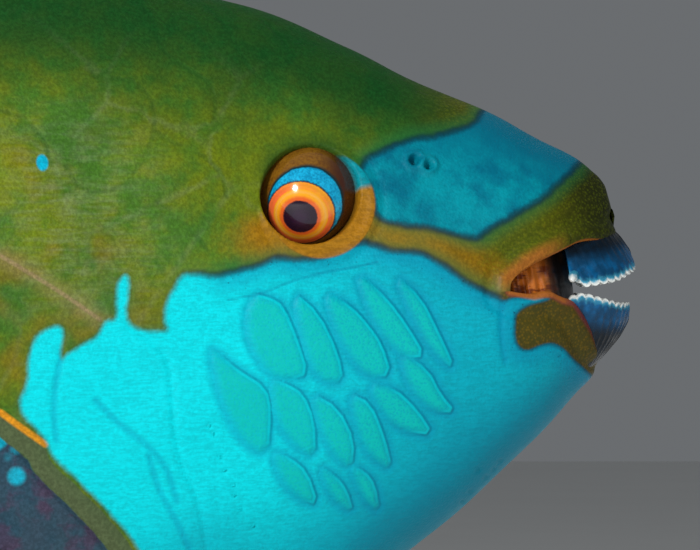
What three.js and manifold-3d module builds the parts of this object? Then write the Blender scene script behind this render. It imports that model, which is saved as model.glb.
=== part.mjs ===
// A life-size parrotfish, a large male with blunt snout, open beak and long tail lobes, held by two rods on a
// flat base. Millimetres, +Z up. The origin is the middle of the base's underside and the fish faces +X.
//
// The fish is drawn in a frame of its own: a station counts millimetres back from the line of the mouth plates,
// and a height counts up from the line through the open mouth. The whole fish is then tipped nose up.
import * as THREE from "three";
import { mergeVertices } from "three/addons/utils/BufferGeometryUtils.js";
import Module from "manifold-3d";

const wasm = await Module();
wasm.setup();

// Driving dimensions
const nosePitch = THREE.MathUtils.degToRad(10);
const balanceStation = 140; // the station over the middle of the base
const axisAboveFloor = 112; // height of the mouth line at the balance station
const gap = 0.3; // what touching pieces keep between them
const bodyEnd = 318; // where the tail fin springs from
const tailCut = 262;
const snoutFront = -2.3;
const lipCorner = 16.3;

const skin = { olive: 0x5c7a1e, turquoise: 0x00a9b8, flank: 0x4f8a55 };
const finish = {
  olive: new THREE.MeshStandardMaterial({ color: skin.olive, roughness: 0.45 }),
  turquoise: new THREE.MeshStandardMaterial({ color: skin.turquoise, roughness: 0.4 }),
  flank: new THREE.MeshStandardMaterial({ color: skin.flank, roughness: 0.45 }),
  lip: new THREE.MeshStandardMaterial({ color: 0xa85a24, roughness: 0.4 }),
  beak: new THREE.MeshStandardMaterial({ color: 0x0a6f9c, roughness: 0.3 }),
  eye: new THREE.MeshStandardMaterial({ color: 0xc8702c, roughness: 0.1 }),
  fin: new THREE.MeshStandardMaterial({ color: 0x1a9aa0, roughness: 0.4 }),
  base: new THREE.MeshStandardMaterial({ color: 0x2a211b, roughness: 0.55 }),
  rod: new THREE.MeshStandardMaterial({ color: 0xb9b9b4, roughness: 0.3, metalness: 1 }),
};

// A smooth curve through [station, value] pairs that never overshoots them
function through(pairs) {
  const xs = pairs.map((p) => p[0]);
  const ys = pairs.map((p) => p[1]);
  const slopes = xs.slice(1).map((x, i) => (ys[i + 1] - ys[i]) / (x - xs[i]));
  const last = xs.length - 1;
  const tangents = xs.map((_, i) => {
    if (i === 0) return slopes[0];
    if (i === last) return slopes[last - 1];
    const [before, after] = [slopes[i - 1], slopes[i]];
    return before * after <= 0 ? 0 : (2 * before * after) / (before + after);
  });
  return (x) => {
    if (x <= xs[0]) return ys[0];
    if (x >= xs[last]) return ys[last];
    const i = xs.findIndex((v) => v > x) - 1;
    const span = xs[i + 1] - xs[i];
    const t = (x - xs[i]) / span;
    const [t2, t3] = [t * t, t * t * t];
    return (
      ys[i] * (2 * t3 - 3 * t2 + 1) +
      ys[i + 1] * (3 * t2 - 2 * t3) +
      span * tangents[i] * (t3 - 2 * t2 + t) +
      span * tangents[i + 1] * (t3 - t2)
    );
  };
}

// The body's outline from the side, its half width from above, and the height at which it is widest
const dorsal = through([
  [-2.3, 11], [-1.7, 16], [0.2, 18.8], [2.2, 21], [7, 24.8], [12.6, 29.2], [20, 34], [27, 38.6], [34, 44],
  [41, 49], [47, 52.4], [53, 55.2], [65, 60.5], [80, 66], [95, 70.5], [110, 73.5], [126, 75], [150, 74],
  [180, 69], [210, 60.5], [240, 49], [262, 40.5], [280, 34.5], [300, 31.5], [bodyEnd, 31],
]);
const ventral = through([
  [3.9, -8.4], [4.2, -11], [5.5, -13], [8.5, -15.2], [15, -20.2], [26, -27.8], [38, -34.8], [50, -40.5],
  [65, -46], [80, -50.3], [95, -53.3], [110, -55], [130, -55.5], [150, -54], [180, -47.5], [210, -37.5],
  [240, -26], [262, -17.5], [280, -12.5], [300, -10.8], [bodyEnd, -11],
]);
const upperWidth = through([
  [-2.3, 1.5], [-2, 3.2], [-1, 6], [1, 8.8], [4, 11.4], [8, 13.6], [12, 15.1], [16.3, 16.3], [25, 18.4],
  [35, 20.5], [45, 22.4], [60, 25], [80, 28], [100, 30.2], [120, 31], [150, 30], [180, 26.6], [210, 21.2],
  [240, 15.2], [265, 10.6], [290, 7.4], [bodyEnd, 5.2],
]);
const jawShare = through([
  [3.9, 0.1], [4.2, 0.44], [5, 0.62], [6.5, 0.76], [9, 0.88], [12.5, 0.96], [lipCorner, 1],
]);
const lowerWidth = (station) => upperWidth(station) * jawShare(station);
const widestHeight = through([[20, 0], [45, 2], [80, 6], [120, 9], [200, 10], [bodyEnd, 10]]);
const ridgeSharpness = 1.15; // above 1 the back narrows to a keel

const fishPoint = (station, side, height) => new THREE.Vector3(-station, side, height);

// Half the body's width at a place on its side
function halfWidthAt(station, height) {
  const middle = widestHeight(station);
  const upper = height >= middle;
  const reach = upper ? dorsal(station) - middle : middle - ventral(station);
  const outward = Math.sqrt(Math.max(0, 1 - ((height - middle) / reach) ** 2));
  return upper ? upperWidth(station) * outward ** ridgeSharpness : lowerWidth(station) * outward;
}

// The way the skin faces there, on the side given by -1 (right) or 1 (left)
function normalAt(station, height, side) {
  const step = 1;
  const along = halfWidthAt(station + step, height) - halfWidthAt(station - step, height);
  const up = halfWidthAt(station, height + step) - halfWidthAt(station, height - step);
  return new THREE.Vector3(along / (2 * step), side, -up / (2 * step)).normalize();
}

// One closed section of the body, from the back down its right side and up its left. growAt gives how far each
// point stands out from the plain form, and shiftAt how far back it lies.
function bodyRing(sectionStation, growAt, points, shiftAt = () => 0) {
  return Array.from({ length: points }, (_, k) => {
    const station = sectionStation + shiftAt(k);
    const middle = widestHeight(station);
    const grow = growAt(k);
    const turn = (2 * Math.PI * k) / points;
    const [up, out] = [Math.cos(turn), Math.sin(turn)];
    const upper = up >= 0;
    const reach = (upper ? dorsal(station) - middle : Math.max(1, middle - ventral(station))) + grow;
    const width = (upper ? upperWidth(station) : lowerWidth(station)) + grow;
    const bulge = Math.abs(out) ** (upper ? ridgeSharpness : 1);
    return fishPoint(station, -Math.sign(out) * width * bulge, middle + up * reach);
  });
}

function geometryOf(vertices, triangles) {
  return new THREE.BufferGeometry().setFromPoints(vertices).setIndex(triangles.flat());
}

// A closed skin over rings of equal length, with a fan at each end
function loft(rings) {
  const count = rings[0].length;
  const vertices = rings.flat();
  const triangles = [];
  for (let r = 0; r + 1 < rings.length; r++) {
    for (let k = 0; k < count; k++) {
      const next = (k + 1) % count;
      const [a, b, c, d] = [r * count + k, r * count + next, (r + 1) * count + k, (r + 1) * count + next];
      triangles.push([a, b, d], [a, d, c]);
    }
  }
  for (const end of [0, rings.length - 1]) {
    const centre = rings[end].reduce((sum, p) => sum.add(p), new THREE.Vector3()).divideScalar(count);
    const hub = vertices.push(centre) - 1;
    for (let k = 0; k < count; k++) {
      const [a, b] = [end * count + k, end * count + ((k + 1) % count)];
      triangles.push(end === 0 ? [hub, b, a] : [hub, a, b]);
    }
  }
  return geometryOf(vertices, triangles);
}

// A closed slab between two grids of points, both faces split into triangles alike
function slab(front, back) {
  const [columns, rows] = [front.length, front[0].length];
  const vertices = [...front.flat(), ...back.flat()];
  const at = (face, i, j) => face * columns * rows + i * rows + j;
  const triangles = [];
  for (let i = 0; i + 1 < columns; i++) {
    for (let j = 0; j + 1 < rows; j++) {
      for (const face of [0, 1]) {
        const [a, b] = [at(face, i, j), at(face, i + 1, j)];
        const [c, d] = [at(face, i + 1, j + 1), at(face, i, j + 1)];
        triangles.push(...(face === 0 ? [[a, b, c], [a, c, d]] : [[c, b, a], [d, c, a]]));
      }
    }
  }
  const rim = [];
  for (let i = 0; i < columns - 1; i++) rim.push([i, 0]);
  for (let j = 0; j < rows - 1; j++) rim.push([columns - 1, j]);
  for (let i = columns - 1; i > 0; i--) rim.push([i, rows - 1]);
  for (let j = rows - 1; j > 0; j--) rim.push([0, j]);
  rim.forEach(([i, j], k) => {
    const [m, n] = rim[(k + 1) % rim.length];
    const [a, b, c, d] = [at(0, i, j), at(0, m, n), at(1, m, n), at(1, i, j)];
    triangles.push([b, a, d], [b, d, c]);
  });
  return geometryOf(vertices, triangles);
}

// A geometry as a solid, turned outside out if its faces point in
function solid(geometry) {
  const bare = geometry.clone();
  for (const name of Object.keys(bare.attributes)) if (name !== "position") bare.deleteAttribute(name);
  const merged = mergeVertices(bare, 1e-4);
  const vertProperties = new Float32Array(merged.attributes.position.array);
  const triVerts = new Uint32Array(merged.index.array);
  const made = new wasm.Manifold(new wasm.Mesh({ numProp: 3, vertProperties, triVerts }));
  if (made.volume() >= 0) return made;
  for (let i = 0; i < triVerts.length; i += 3) {
    [triVerts[i], triVerts[i + 1]] = [triVerts[i + 1], triVerts[i]];
  }
  return new wasm.Manifold(new wasm.Mesh({ numProp: 3, vertProperties, triVerts }));
}

// The largest closed body of a solid, as a geometry
function geometryFrom(made) {
  const largest = made.decompose().sort((a, b) => b.volume() - a.volume())[0];
  const { vertProperties, triVerts } = largest.getMesh();
  const geometry = new THREE.BufferGeometry();
  geometry.setAttribute("position", new THREE.BufferAttribute(new Float32Array(vertProperties), 3));
  geometry.setIndex([...triVerts]);
  geometry.computeVertexNormals();
  return geometry;
}

// A prism across the fish over an outline of [station, height] pairs, between two distances from the midline
function prism(outline, from = -80, to = 80) {
  const shape = new THREE.Shape(outline.map(([station, height]) => new THREE.Vector2(-station, height)));
  const geometry = new THREE.ExtrudeGeometry(shape, { depth: to - from, bevelEnabled: false });
  return solid(geometry.rotateX(Math.PI / 2).translate(0, to, 0));
}

// An outline moved outward by a distance
function widened(outline, distance) {
  const count = outline.length;
  const area = outline.reduce((sum, [x, y], i) => {
    const [nx, ny] = outline[(i + 1) % count];
    return sum + x * ny - nx * y;
  }, 0);
  const turn = Math.sign(area);
  return outline.map(([x, y], i) => {
    const [px, py] = outline[(i + count - 1) % count];
    const [nx, ny] = outline[(i + 1) % count];
    const before = new THREE.Vector2(x - px, y - py).normalize();
    const after = new THREE.Vector2(nx - x, ny - y).normalize();
    const normal = new THREE.Vector2(before.y + after.y, -before.x - after.x).setLength(1).multiplyScalar(turn);
    const stretch = 1 / Math.max(0.5, normal.dot(new THREE.Vector2(after.y, -after.x).multiplyScalar(turn)));
    return [x + normal.x * distance * stretch, y + normal.y * distance * stretch];
  });
}

// A round bar from one point to another
function bar(start, end, radius, sides, endRadius = radius) {
  const along = new THREE.Vector3().subVectors(end, start);
  const geometry = new THREE.CylinderGeometry(endRadius, radius, along.length(), sides);
  const upright = new THREE.Vector3(0, 1, 0);
  const turn = new THREE.Quaternion().setFromUnitVectors(upright, along.clone().normalize());
  const middle = new THREE.Vector3().addVectors(start, end).multiplyScalar(0.5);
  return solid(geometry.applyQuaternion(turn).translate(middle.x, middle.y, middle.z));
}

// Body

const ringPoints = 28;
const snoutSteps = 7;
const headStep = 8;
const trunkStep = 11;

function bodyStations() {
  const stations = [];
  for (let i = 0; i < snoutSteps; i++) {
    stations.push(snoutFront + (lipCorner - snoutFront) * (i / snoutSteps) ** 2);
  }
  for (let s = lipCorner; s < 100; s += headStep) stations.push(s);
  for (let s = 104; s < bodyEnd - 4; s += trunkStep) stations.push(s);
  stations.push(bodyEnd);
  return stations;
}

const bodySolid = (grow) => solid(loft(bodyStations().map((s) => bodyRing(s, () => grow, ringPoints))));
const body = bodySolid(0);

// Large scales: each column of plates rises toward its rear edge, and the plates of one column lie between those
// of the next
const scales = {
  first: 70, pitch: 13, rearEdge: 0.95, rounding: 0.3, rise: 0.9, between: 0.3, ringPoints: 32,
};

function scaledSolid(grow) {
  const rings = [bodyRing(50, () => grow, scales.ringPoints)];
  for (let column = 0; scales.first + column * scales.pitch < bodyEnd - 10; column++) {
    const start = scales.first + column * scales.pitch;
    for (const share of [0, 0.5, scales.rearEdge]) {
      const station = Math.min(start + share * scales.pitch, bodyEnd - 1);
      const isPlate = (k) => k % 2 === column % 2;
      const lift = (k) => grow + scales.rise * share * (isPlate(k) ? 1 : scales.between);
      const shift = (k) => (isPlate(k) ? 0 : -scales.rounding * scales.pitch * share ** 2);
      rings.push(bodyRing(station, lift, scales.ringPoints, shift));
    }
  }
  rings.push(bodyRing(bodyEnd, () => grow, scales.ringPoints));
  return solid(loft(rings));
}

const scaledBody = scaledSolid(0);
const scaledBodyAndGap = scaledSolid(gap);

// Seen from the side: the open mouth, the lower jaw, and the head as far as the gill opening
const mouthOutline = [
  [-12, 8], [-2.3, 8], [0.5, 8], [3.6, 8.4], [6.9, 7.7], [10.2, 6.8], [13, 5.4], [15.6, 3.8], [lipCorner, 2.4],
  [13, 0.8], [9.1, -0.3], [6.8, -1.2], [5.7, -3.3], [4.5, -5.9], [3.6, -8.8], [-12, -8.8],
];
const jawOutline = [
  [-12, 2.4], [lipCorner, 2.4], [17.2, -6], [20.5, -16], [27, -28], [29, -50], [-12, -50],
];
const headOutline = [
  [-20, 95], [90, 95], [91, 40], [94, 26], [99.5, 17], [101.4, 6], [98.4, -2.6], [92, -9], [85.8, -19],
  [80, -28], [72.5, -37], [66, -43.5], [62, -70], [-20, -70],
];
const gillOutline = [
  [73, 27], [84, 29], [93, 25], [98.6, 16.6], [100.6, 6], [97.8, -2.2], [91.4, -8.6], [85.2, -18.6], [79.4, -27.6],
  [72, -36.5], [66, -42], [67.4, -34], [68.8, -24], [70.4, -13], [69.9, -5], [69.4, 4], [70.6, 16],
];
// Flesh that fills the mouth behind the tooth plates
const gum = { front: 8, rear: 22, low: -9, high: 12, halfWidth: 10 };
const gumOutline = [[gum.front, gum.low], [gum.rear, gum.low], [gum.rear, gum.high], [gum.front, gum.high]];
const gillThickness = 3;
const gillProud = 0.9;

// Eyes

const socketSlack = 0.35; // keeps the flats of the coarser socket clear of the eyeball
const eye = {
  station: 44.5, height: 22.3, radius: 8.2, depth: 7.6, opening: 7.3, rim: 0.9, lookBack: 0.19, lookDown: 0.42,
};

function eyeCentre(side) {
  const out = halfWidthAt(eye.station, eye.height) - eye.depth;
  return fishPoint(eye.station, side * out, eye.height);
}

const sphereAt = (centre, radius, across, down) =>
  solid(new THREE.SphereGeometry(radius, across, down).rotateX(Math.PI / 2).translate(centre.x, centre.y, centre.z));

// The raised rim of the eye opening
function orbitRim(side) {
  const normal = normalAt(eye.station, eye.height, side);
  const turn = new THREE.Quaternion().setFromUnitVectors(new THREE.Vector3(0, 0, 1), normal);
  const place = fishPoint(eye.station, side * halfWidthAt(eye.station, eye.height), eye.height);
  place.addScaledVector(normal, -0.3);
  const ring = new THREE.TorusGeometry(eye.opening + eye.rim, eye.rim * 1.3, 5, 16).applyQuaternion(turn);
  return solid(ring.translate(place.x, place.y, place.z));
}

// The opening in the skin that shows the eyeball
function orbitOpening(side) {
  const normal = normalAt(eye.station, eye.height, side);
  const centre = eyeCentre(side);
  const outer = centre.clone().addScaledVector(normal, eye.depth + 4);
  return bar(centre, outer, eye.opening - 1.4, 16, eye.opening + 0.5).add(
    sphereAt(centre, eye.radius + gap + socketSlack, 14, 9),
  );
}

// The eyeball with its clear bulging front, looking a little back and down
function eyeball(side) {
  const centre = eyeCentre(side);
  const gaze = new THREE.Vector3(-eye.lookBack, side, -eye.lookDown).normalize();
  const lens = centre.clone().addScaledVector(gaze, eye.radius - 4.4);
  return sphereAt(centre, eye.radius, 16, 10).add(sphereAt(lens, 4.9, 12, 7));
}

// Nostrils: two small raised pits before each eye

const nostrils = [
  { station: 27.2, height: 24.8, radius: 0.75 },
  { station: 25.2, height: 23.6, radius: 0.6 },
];

function nostrilParts(side) {
  return nostrils.map(({ station, height, radius }) => {
    const normal = normalAt(station, height, side);
    const place = fishPoint(station, side * halfWidthAt(station, height), height);
    const inner = place.clone().addScaledVector(normal, -2);
    const lip = place.clone().addScaledVector(normal, 0.35);
    const clear = place.clone().addScaledVector(normal, 1.5);
    return { wall: bar(inner, lip, radius + 0.6, 10), pit: bar(inner, clear, radius, 8) };
  });
}

// Lips: a soft roll along each edge of the mouth, from corner to corner round the front

const lips = {
  upper: {
    radius: 1.5,
    edge: [[15.4, 4.4], [12.6, 6.1], [9, 7.4], [5.5, 8.3], [2.4, 8.6], [-0.2, 8.4]],
    front: [-2, 8.4],
  },
  lower: { radius: 1.4, edge: [[14.8, 1], [11.4, 0.2], [8.6, -0.9], [7.2, -2.6], [6.1, -5]], front: [4.8, -8.2] },
};

function lipSolid({ radius, edge, front }, width, grow) {
  const rightSide = edge.map(([s, h]) => fishPoint(s, -(width(s) - radius * 0.55), h));
  const leftSide = rightSide.map((p) => new THREE.Vector3(p.x, -p.y, p.z)).reverse();
  const path = new THREE.CatmullRomCurve3([...rightSide, fishPoint(front[0], 0, front[1]), ...leftSide]);
  const section = new THREE.Shape().absarc(0, 0, radius + grow, 0, 2 * Math.PI);
  const settings = { steps: 18, curveSegments: 4, extrudePath: path, bevelEnabled: false };
  const tube = new THREE.ExtrudeGeometry(section, settings);
  return solid(tube);
}

// Beak: two fused tooth plates in each jaw, parted at the middle, with a scalloped cutting edge

const beak = {
  upper: {
    root: 12, rootFront: 0.6, edgeFront: -4.1, rear: 6.6, width: 10.4, rootWidth: 0.82, thickness: 2, scallops: 6,
    cut: through([[0, 2.6], [0.3, 1.7], [0.6, 0.9], [0.85, 0.9], [1, 2.6]]),
  },
  lower: {
    root: -12, rootFront: 5.6, edgeFront: -2.2, rear: 7.4, width: 9.6, rootWidth: 0.5, thickness: 2, scallops: 6,
    cut: through([[0, -2.7], [0.35, -2.4], [0.65, -1], [0.88, 0.2], [1, 0]]),
  },
};
const scallopDepth = 0.5;

// One plate: it runs from the middle of the jaw (0) to its rear end (1), and from its root (0) to its edge (1)
function toothPlate(form, side, grow) {
  const { root, rootFront, edgeFront, rear, width, rootWidth, thickness, scallops, cut } = form;
  const columns = scallops * 2;
  const rows = 3;
  const up = Math.sign(root);
  const face = (inset) =>
    Array.from({ length: columns + 1 }, (_, i) =>
      Array.from({ length: rows + 1 }, (_, j) => {
        const turn = (Math.PI / 2) * (i / columns);
        const rise = j / rows;
        const front = rootFront + (edgeFront - rootFront) * Math.sin((rise * Math.PI) / 2);
        const notch = i % 2 === 0 ? scallopDepth : 0;
        const foot = root + up * grow;
        const height = foot + (cut(i / columns) + up * (notch - grow) - foot) * rise;
        const thin = (thickness * (1.15 - 0.5 * rise)) * inset + (inset ? grow : -grow);
        const widthHere = width * (rootWidth + (1 - rootWidth) * rise) - thin;
        const across = Math.max(0.15 - grow, Math.sin(turn) * widthHere);
        const station = rear + (front + thin - rear) * Math.cos(turn) + grow * Math.sin(turn);
        return fishPoint(station, side * across, height);
      }),
    );
  return solid(slab(face(0), face(1)));
}

const canine = { station: 5.8, height: 2.9, length: 2.4, radius: 0.9 };

function canineTooth(side) {
  const root = fishPoint(canine.station, side * (beak.upper.width - 1.6), canine.height + 0.4);
  const tip = new THREE.Vector3(-0.25, side, -0.35).normalize().multiplyScalar(canine.length + 1).add(root);
  return bar(root, tip, canine.radius, 8, 0.2);
}

// Fins: a thin web with a ridge for each ray, both faces alike, sunk into the body and trimmed back to its skin

// centre(across, out) gives the middle of the blade, across from the first ray (0) to the last (1), out to the
// tip (1)
function finBlade(centre, normal, { rays, rows, ray, web }) {
  const columns = rays * 2 - 1;
  const face = (way) =>
    Array.from({ length: columns }, (_, i) =>
      Array.from({ length: rows + 1 }, (_, j) => {
        const out = j / rows;
        const [root, tip] = i % 2 === 0 ? ray : web;
        const offset = way * (root + (tip - root) * out);
        return centre(i / (columns - 1), out, i % 2).addScaledVector(normal, offset);
      }),
    );
  return solid(slab(face(1), face(-1)));
}

const across = new THREE.Vector3(0, 1, 0);
const sunk = 4; // how deep a blade starts under the skin before it is trimmed

const dorsalFin = {
  front: 98, rear: 276, rays: 19, rows: 4, ray: [1.3, 0.5], web: [0.6, 0.35],
  height: through([[0, 17], [0.06, 23], [0.3, 27.5], [0.6, 29.5], [0.88, 29], [1, 21]]),
  lean: through([[0, 13], [0.5, 16], [1, 26]]),
  notch: through([[0, 2.4], [0.45, 1.6], [0.55, 0.5], [1, 0.5]]),
};
const analFin = {
  front: 196, rear: 274, rays: 12, rows: 4, ray: [1.2, 0.5], web: [0.6, 0.35],
  height: through([[0, 12], [0.15, 20], [0.4, 25], [0.8, 24.5], [1, 17]]),
  lean: through([[0, 12], [0.5, 17], [1, 25]]),
  notch: through([[0, 1.6], [0.25, 0.5], [1, 0.4]]),
};

// The dorsal fin (way 1) or the anal fin (way -1), along an outline of the body
function medianFin(fin, outline, way) {
  const centre = (a, out, between) => {
    const foot = fin.front + (fin.rear - fin.front) * a;
    const length = fin.height(a) - between * fin.notch(a);
    const bend = out * (0.75 + 0.25 * out);
    return fishPoint(foot + fin.lean(a) * bend, 0, outline(foot) + way * (-sunk + (length + sunk) * out));
  };
  return finBlade(centre, across, fin);
}

const tailFin = {
  rays: 15, rows: 6, ray: [2.4, 0.6], web: [1.7, 0.4],
  middle: 10, rootHalf: 17.5, tipHalf: 57, centreLength: 54, lobeLength: 77,
};

function tailBlade() {
  const { middle, rootHalf, tipHalf, centreLength, lobeLength } = tailFin;
  const centre = (a, out, between) => {
    const place = 2 * a - 1;
    const edge = Math.abs(place);
    const wave = 3 * Math.cos(place * Math.PI * 1.5);
    const length = centreLength + (lobeLength - centreLength) * edge ** 4 + wave - between;
    const tipSpread = tipHalf * Math.sign(place) * edge ** 1.15;
    const spread = rootHalf * place + (tipSpread - rootHalf * place) * out ** 0.9;
    return fishPoint(bodyEnd - 3 + (length + 3) * out, 0, middle + spread);
  };
  return finBlade(centre, across, tailFin);
}

// A paired fin: rays fan from a short root line on the body's side
const pectoralFin = {
  rays: 13, rows: 5, ray: [1.1, 0.45], web: [0.5, 0.32],
  root: [[104, -1], [108.5, -19]], spread: [8, -62], swing: 34, curl: 9,
  length: through([[0, 62], [0.12, 66], [0.4, 58], [0.75, 40], [1, 24]]),
};
const pelvicFin = {
  rays: 6, rows: 6, ray: [1.1, 0.5], web: [0.5, 0.35],
  root: [[112, -49.5], [119, -51.5]], spread: [-24, -9], swing: 13, curl: 3,
  length: through([[0, 46], [0.2, 54], [0.6, 46], [1, 30]]),
};

function pairedBlade({ root, spread, swing, curl, length, ...form }, side) {
  const [[s0, h0], [s1, h1]] = root;
  const turn = THREE.MathUtils.degToRad(swing);
  const back = new THREE.Vector3(-Math.cos(turn), side * Math.sin(turn), 0);
  const outward = new THREE.Vector3(Math.sin(turn), side * Math.cos(turn), 0);
  const centre = (a, out, between) => {
    const [s, h] = [s0 + (s1 - s0) * a, h0 + (h1 - h0) * a];
    const start = fishPoint(s, side * (halfWidthAt(s, h) - sunk * 0.6), h).addScaledVector(back, -2);
    const fan = THREE.MathUtils.degToRad(spread[0] + (spread[1] - spread[0]) * a);
    const reach = (length(a) - between) * out;
    const climb = new THREE.Vector3(0, 0, Math.sin(fan));
    const bow = curl * Math.sin(out * Math.PI * 0.5) * (1 - out * 0.6);
    start.addScaledVector(back, Math.cos(fan) * reach).addScaledVector(climb, reach);
    return start.addScaledVector(outward, bow);
  };
  return finBlade(centre, outward, form);
}

// Stand: a bevelled plate and two rods let into it and into the belly

const base = { length: 210, width: 112, thickness: 14, corner: 16, bevel: 2 };
const rods = { radius: 3, stations: [101, 181], intoBase: 8, intoFish: 9, sides: 20 };

const fishPose = new THREE.Matrix4()
  .makeTranslation(0, 0, axisAboveFloor)
  .multiply(new THREE.Matrix4().makeRotationY(-nosePitch))
  .multiply(new THREE.Matrix4().makeTranslation(balanceStation, 0, 0));

function rodEnds(station) {
  const belly = fishPoint(station, 0, ventral(station)).applyMatrix4(fishPose);
  return {
    foot: new THREE.Vector3(belly.x, 0, base.thickness - rods.intoBase),
    head: new THREE.Vector3(belly.x, 0, belly.z + rods.intoFish),
  };
}

// The hole a rod leaves, a gap wider and deeper than the rod at both ends
function rodHole(station) {
  const { foot, head } = rodEnds(station);
  return bar(foot.setZ(foot.z - gap), head.setZ(head.z + gap), rods.radius + gap, rods.sides);
}

function baseSolid() {
  const [x, y, r] = [base.length / 2 - base.bevel, base.width / 2 - base.bevel, base.corner];
  const plan = new THREE.Shape();
  plan.moveTo(-x + r, -y).lineTo(x - r, -y).absarc(x - r, -y + r, r, -Math.PI / 2, 0);
  plan.lineTo(x, y - r).absarc(x - r, y - r, r, 0, Math.PI / 2);
  plan.lineTo(-x + r, y).absarc(-x + r, y - r, r, Math.PI / 2, Math.PI);
  plan.lineTo(-x, -y + r).absarc(-x + r, -y + r, r, Math.PI, 1.5 * Math.PI);
  const plate = new THREE.ExtrudeGeometry(plan, {
    depth: base.thickness - 2 * base.bevel, curveSegments: 5,
    bevelThickness: base.bevel, bevelSize: base.bevel, bevelSegments: 1,
  });
  return solid(plate.translate(0, 0, base.bevel));
}

// Assembly

const parrotfish = new THREE.Group();
const fish = new THREE.Group();
fish.applyMatrix4(fishPose);
parrotfish.add(fish);

function addNode(parent, name, made, material) {
  const mesh = new THREE.Mesh(geometryFrom(made), material);
  mesh.name = name;
  parent.add(mesh);
}

const sides = [["right", -1], ["left", 1]];
const inFishFrame = (made) => {
  const back = new THREE.Matrix4().copy(fishPose).invert();
  return made.transform(back.toArray());
};

const mouth = prism(mouthOutline).subtract(prism(gumOutline, -gum.halfWidth, gum.halfWidth));
const jawRegion = prism(jawOutline);
const jawRegionAndGap = prism(widened(jawOutline, gap));
const lipCut = lipSolid(lips.upper, upperWidth, gap).add(lipSolid(lips.lower, lowerWidth, gap));
const platePair = (side) => toothPlate(beak.upper, side, gap).add(toothPlate(beak.lower, side, gap));
const plateCut = sides.map(([, side]) => platePair(side));
const gillShell = bodySolid(gillProud).subtract(bodySolid(-gillThickness));
const gillCut = bodySolid(8).subtract(bodySolid(-gillThickness - gap));

// Head
let head = body.intersect(prism(headOutline));
for (const [, side] of sides) {
  head = head.add(orbitRim(side)).subtract(orbitOpening(side));
  for (const { wall, pit } of nostrilParts(side)) head = head.add(wall).subtract(pit);
}
head = head.subtract(mouth).subtract(jawRegionAndGap).subtract(lipCut);
head = head.subtract(gillCut.intersect(prism(widened(gillOutline, gap))));
for (const cut of plateCut) head = head.subtract(cut);
addNode(fish, "head", head, finish.olive);

let jaw = body.intersect(jawRegion).subtract(mouth).subtract(lipCut);
for (const cut of plateCut) jaw = jaw.subtract(cut);
addNode(fish, "lower_jaw", jaw, finish.turquoise);

const upperLip = lipSolid(lips.upper, upperWidth, 0);
const lowerLip = lipSolid(lips.lower, lowerWidth, 0);
const lipGap = lipSolid(lips.upper, upperWidth, gap);
let upperRoll = upperLip;
let lowerRoll = lowerLip.subtract(lipGap);
for (const cut of plateCut) {
  upperRoll = upperRoll.subtract(cut);
  lowerRoll = lowerRoll.subtract(cut);
}
addNode(fish, "upper_lip", upperRoll, finish.lip);
addNode(fish, "lower_lip", lowerRoll, finish.lip);

for (const [word, side] of sides) {
  const [from, to] = side < 0 ? [-80, 0] : [0, 80];
  addNode(fish, `upper_tooth_plate_${word}`, toothPlate(beak.upper, side, 0).add(canineTooth(side)), finish.beak);
  addNode(fish, `lower_tooth_plate_${word}`, toothPlate(beak.lower, side, 0), finish.beak);
  addNode(fish, `eye_${word}`, eyeball(side), finish.eye);
  addNode(fish, `gill_cover_${word}`, gillShell.intersect(prism(gillOutline, from, to)), finish.turquoise);
}

// Trunk and tail base
let trunk = scaledBody.subtract(prism(widened(headOutline, gap)));
const behindCut = prism([[tailCut, 120], [400, 120], [400, -120], [tailCut, -120]]);
const beforeCut = prism([[-40, 120], [tailCut + gap, 120], [tailCut + gap, -120], [-40, -120]]);
const tailBase = trunk.subtract(beforeCut);
trunk = trunk.subtract(behindCut);
for (const station of rods.stations) trunk = trunk.subtract(inFishFrame(rodHole(station)));
addNode(fish, "trunk", trunk, finish.flank);
addNode(fish, "tail_base", tailBase, finish.flank);

// Fins
addNode(fish, "dorsal_fin", medianFin(dorsalFin, dorsal, 1).subtract(scaledBodyAndGap), finish.fin);
addNode(fish, "anal_fin", medianFin(analFin, ventral, -1).subtract(scaledBodyAndGap), finish.fin);
const aheadOfTail = prism([[0, 90], [bodyEnd + gap, 90], [bodyEnd + gap, -90], [0, -90]]);
addNode(fish, "tail_fin", tailBlade().subtract(scaledBodyAndGap).subtract(aheadOfTail), finish.fin);
for (const [word, side] of sides) {
  addNode(fish, `pectoral_fin_${word}`, pairedBlade(pectoralFin, side).subtract(scaledBodyAndGap), finish.fin);
  addNode(fish, `pelvic_fin_${word}`, pairedBlade(pelvicFin, side).subtract(scaledBodyAndGap), finish.fin);
}

// Stand
let plate = baseSolid();
for (const station of rods.stations) plate = plate.subtract(rodHole(station));
addNode(parrotfish, "stand_base", plate, finish.base);
rods.stations.forEach((station, i) => {
  const { foot, head: top } = rodEnds(station);
  addNode(parrotfish, `stand_rod_${["front", "rear"][i]}`, bar(foot, top, rods.radius, rods.sides), finish.rod);
});

export default parrotfish;
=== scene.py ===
# A life-size parrotfish on a plain display stand, seen close at the head.
# Lengths are millimetres in the fish's own frame: station counts back from the mouth plates, height counts up
# from the line of the open mouth, and side is the distance from the middle plane, negative on the right side.
import math

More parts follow.
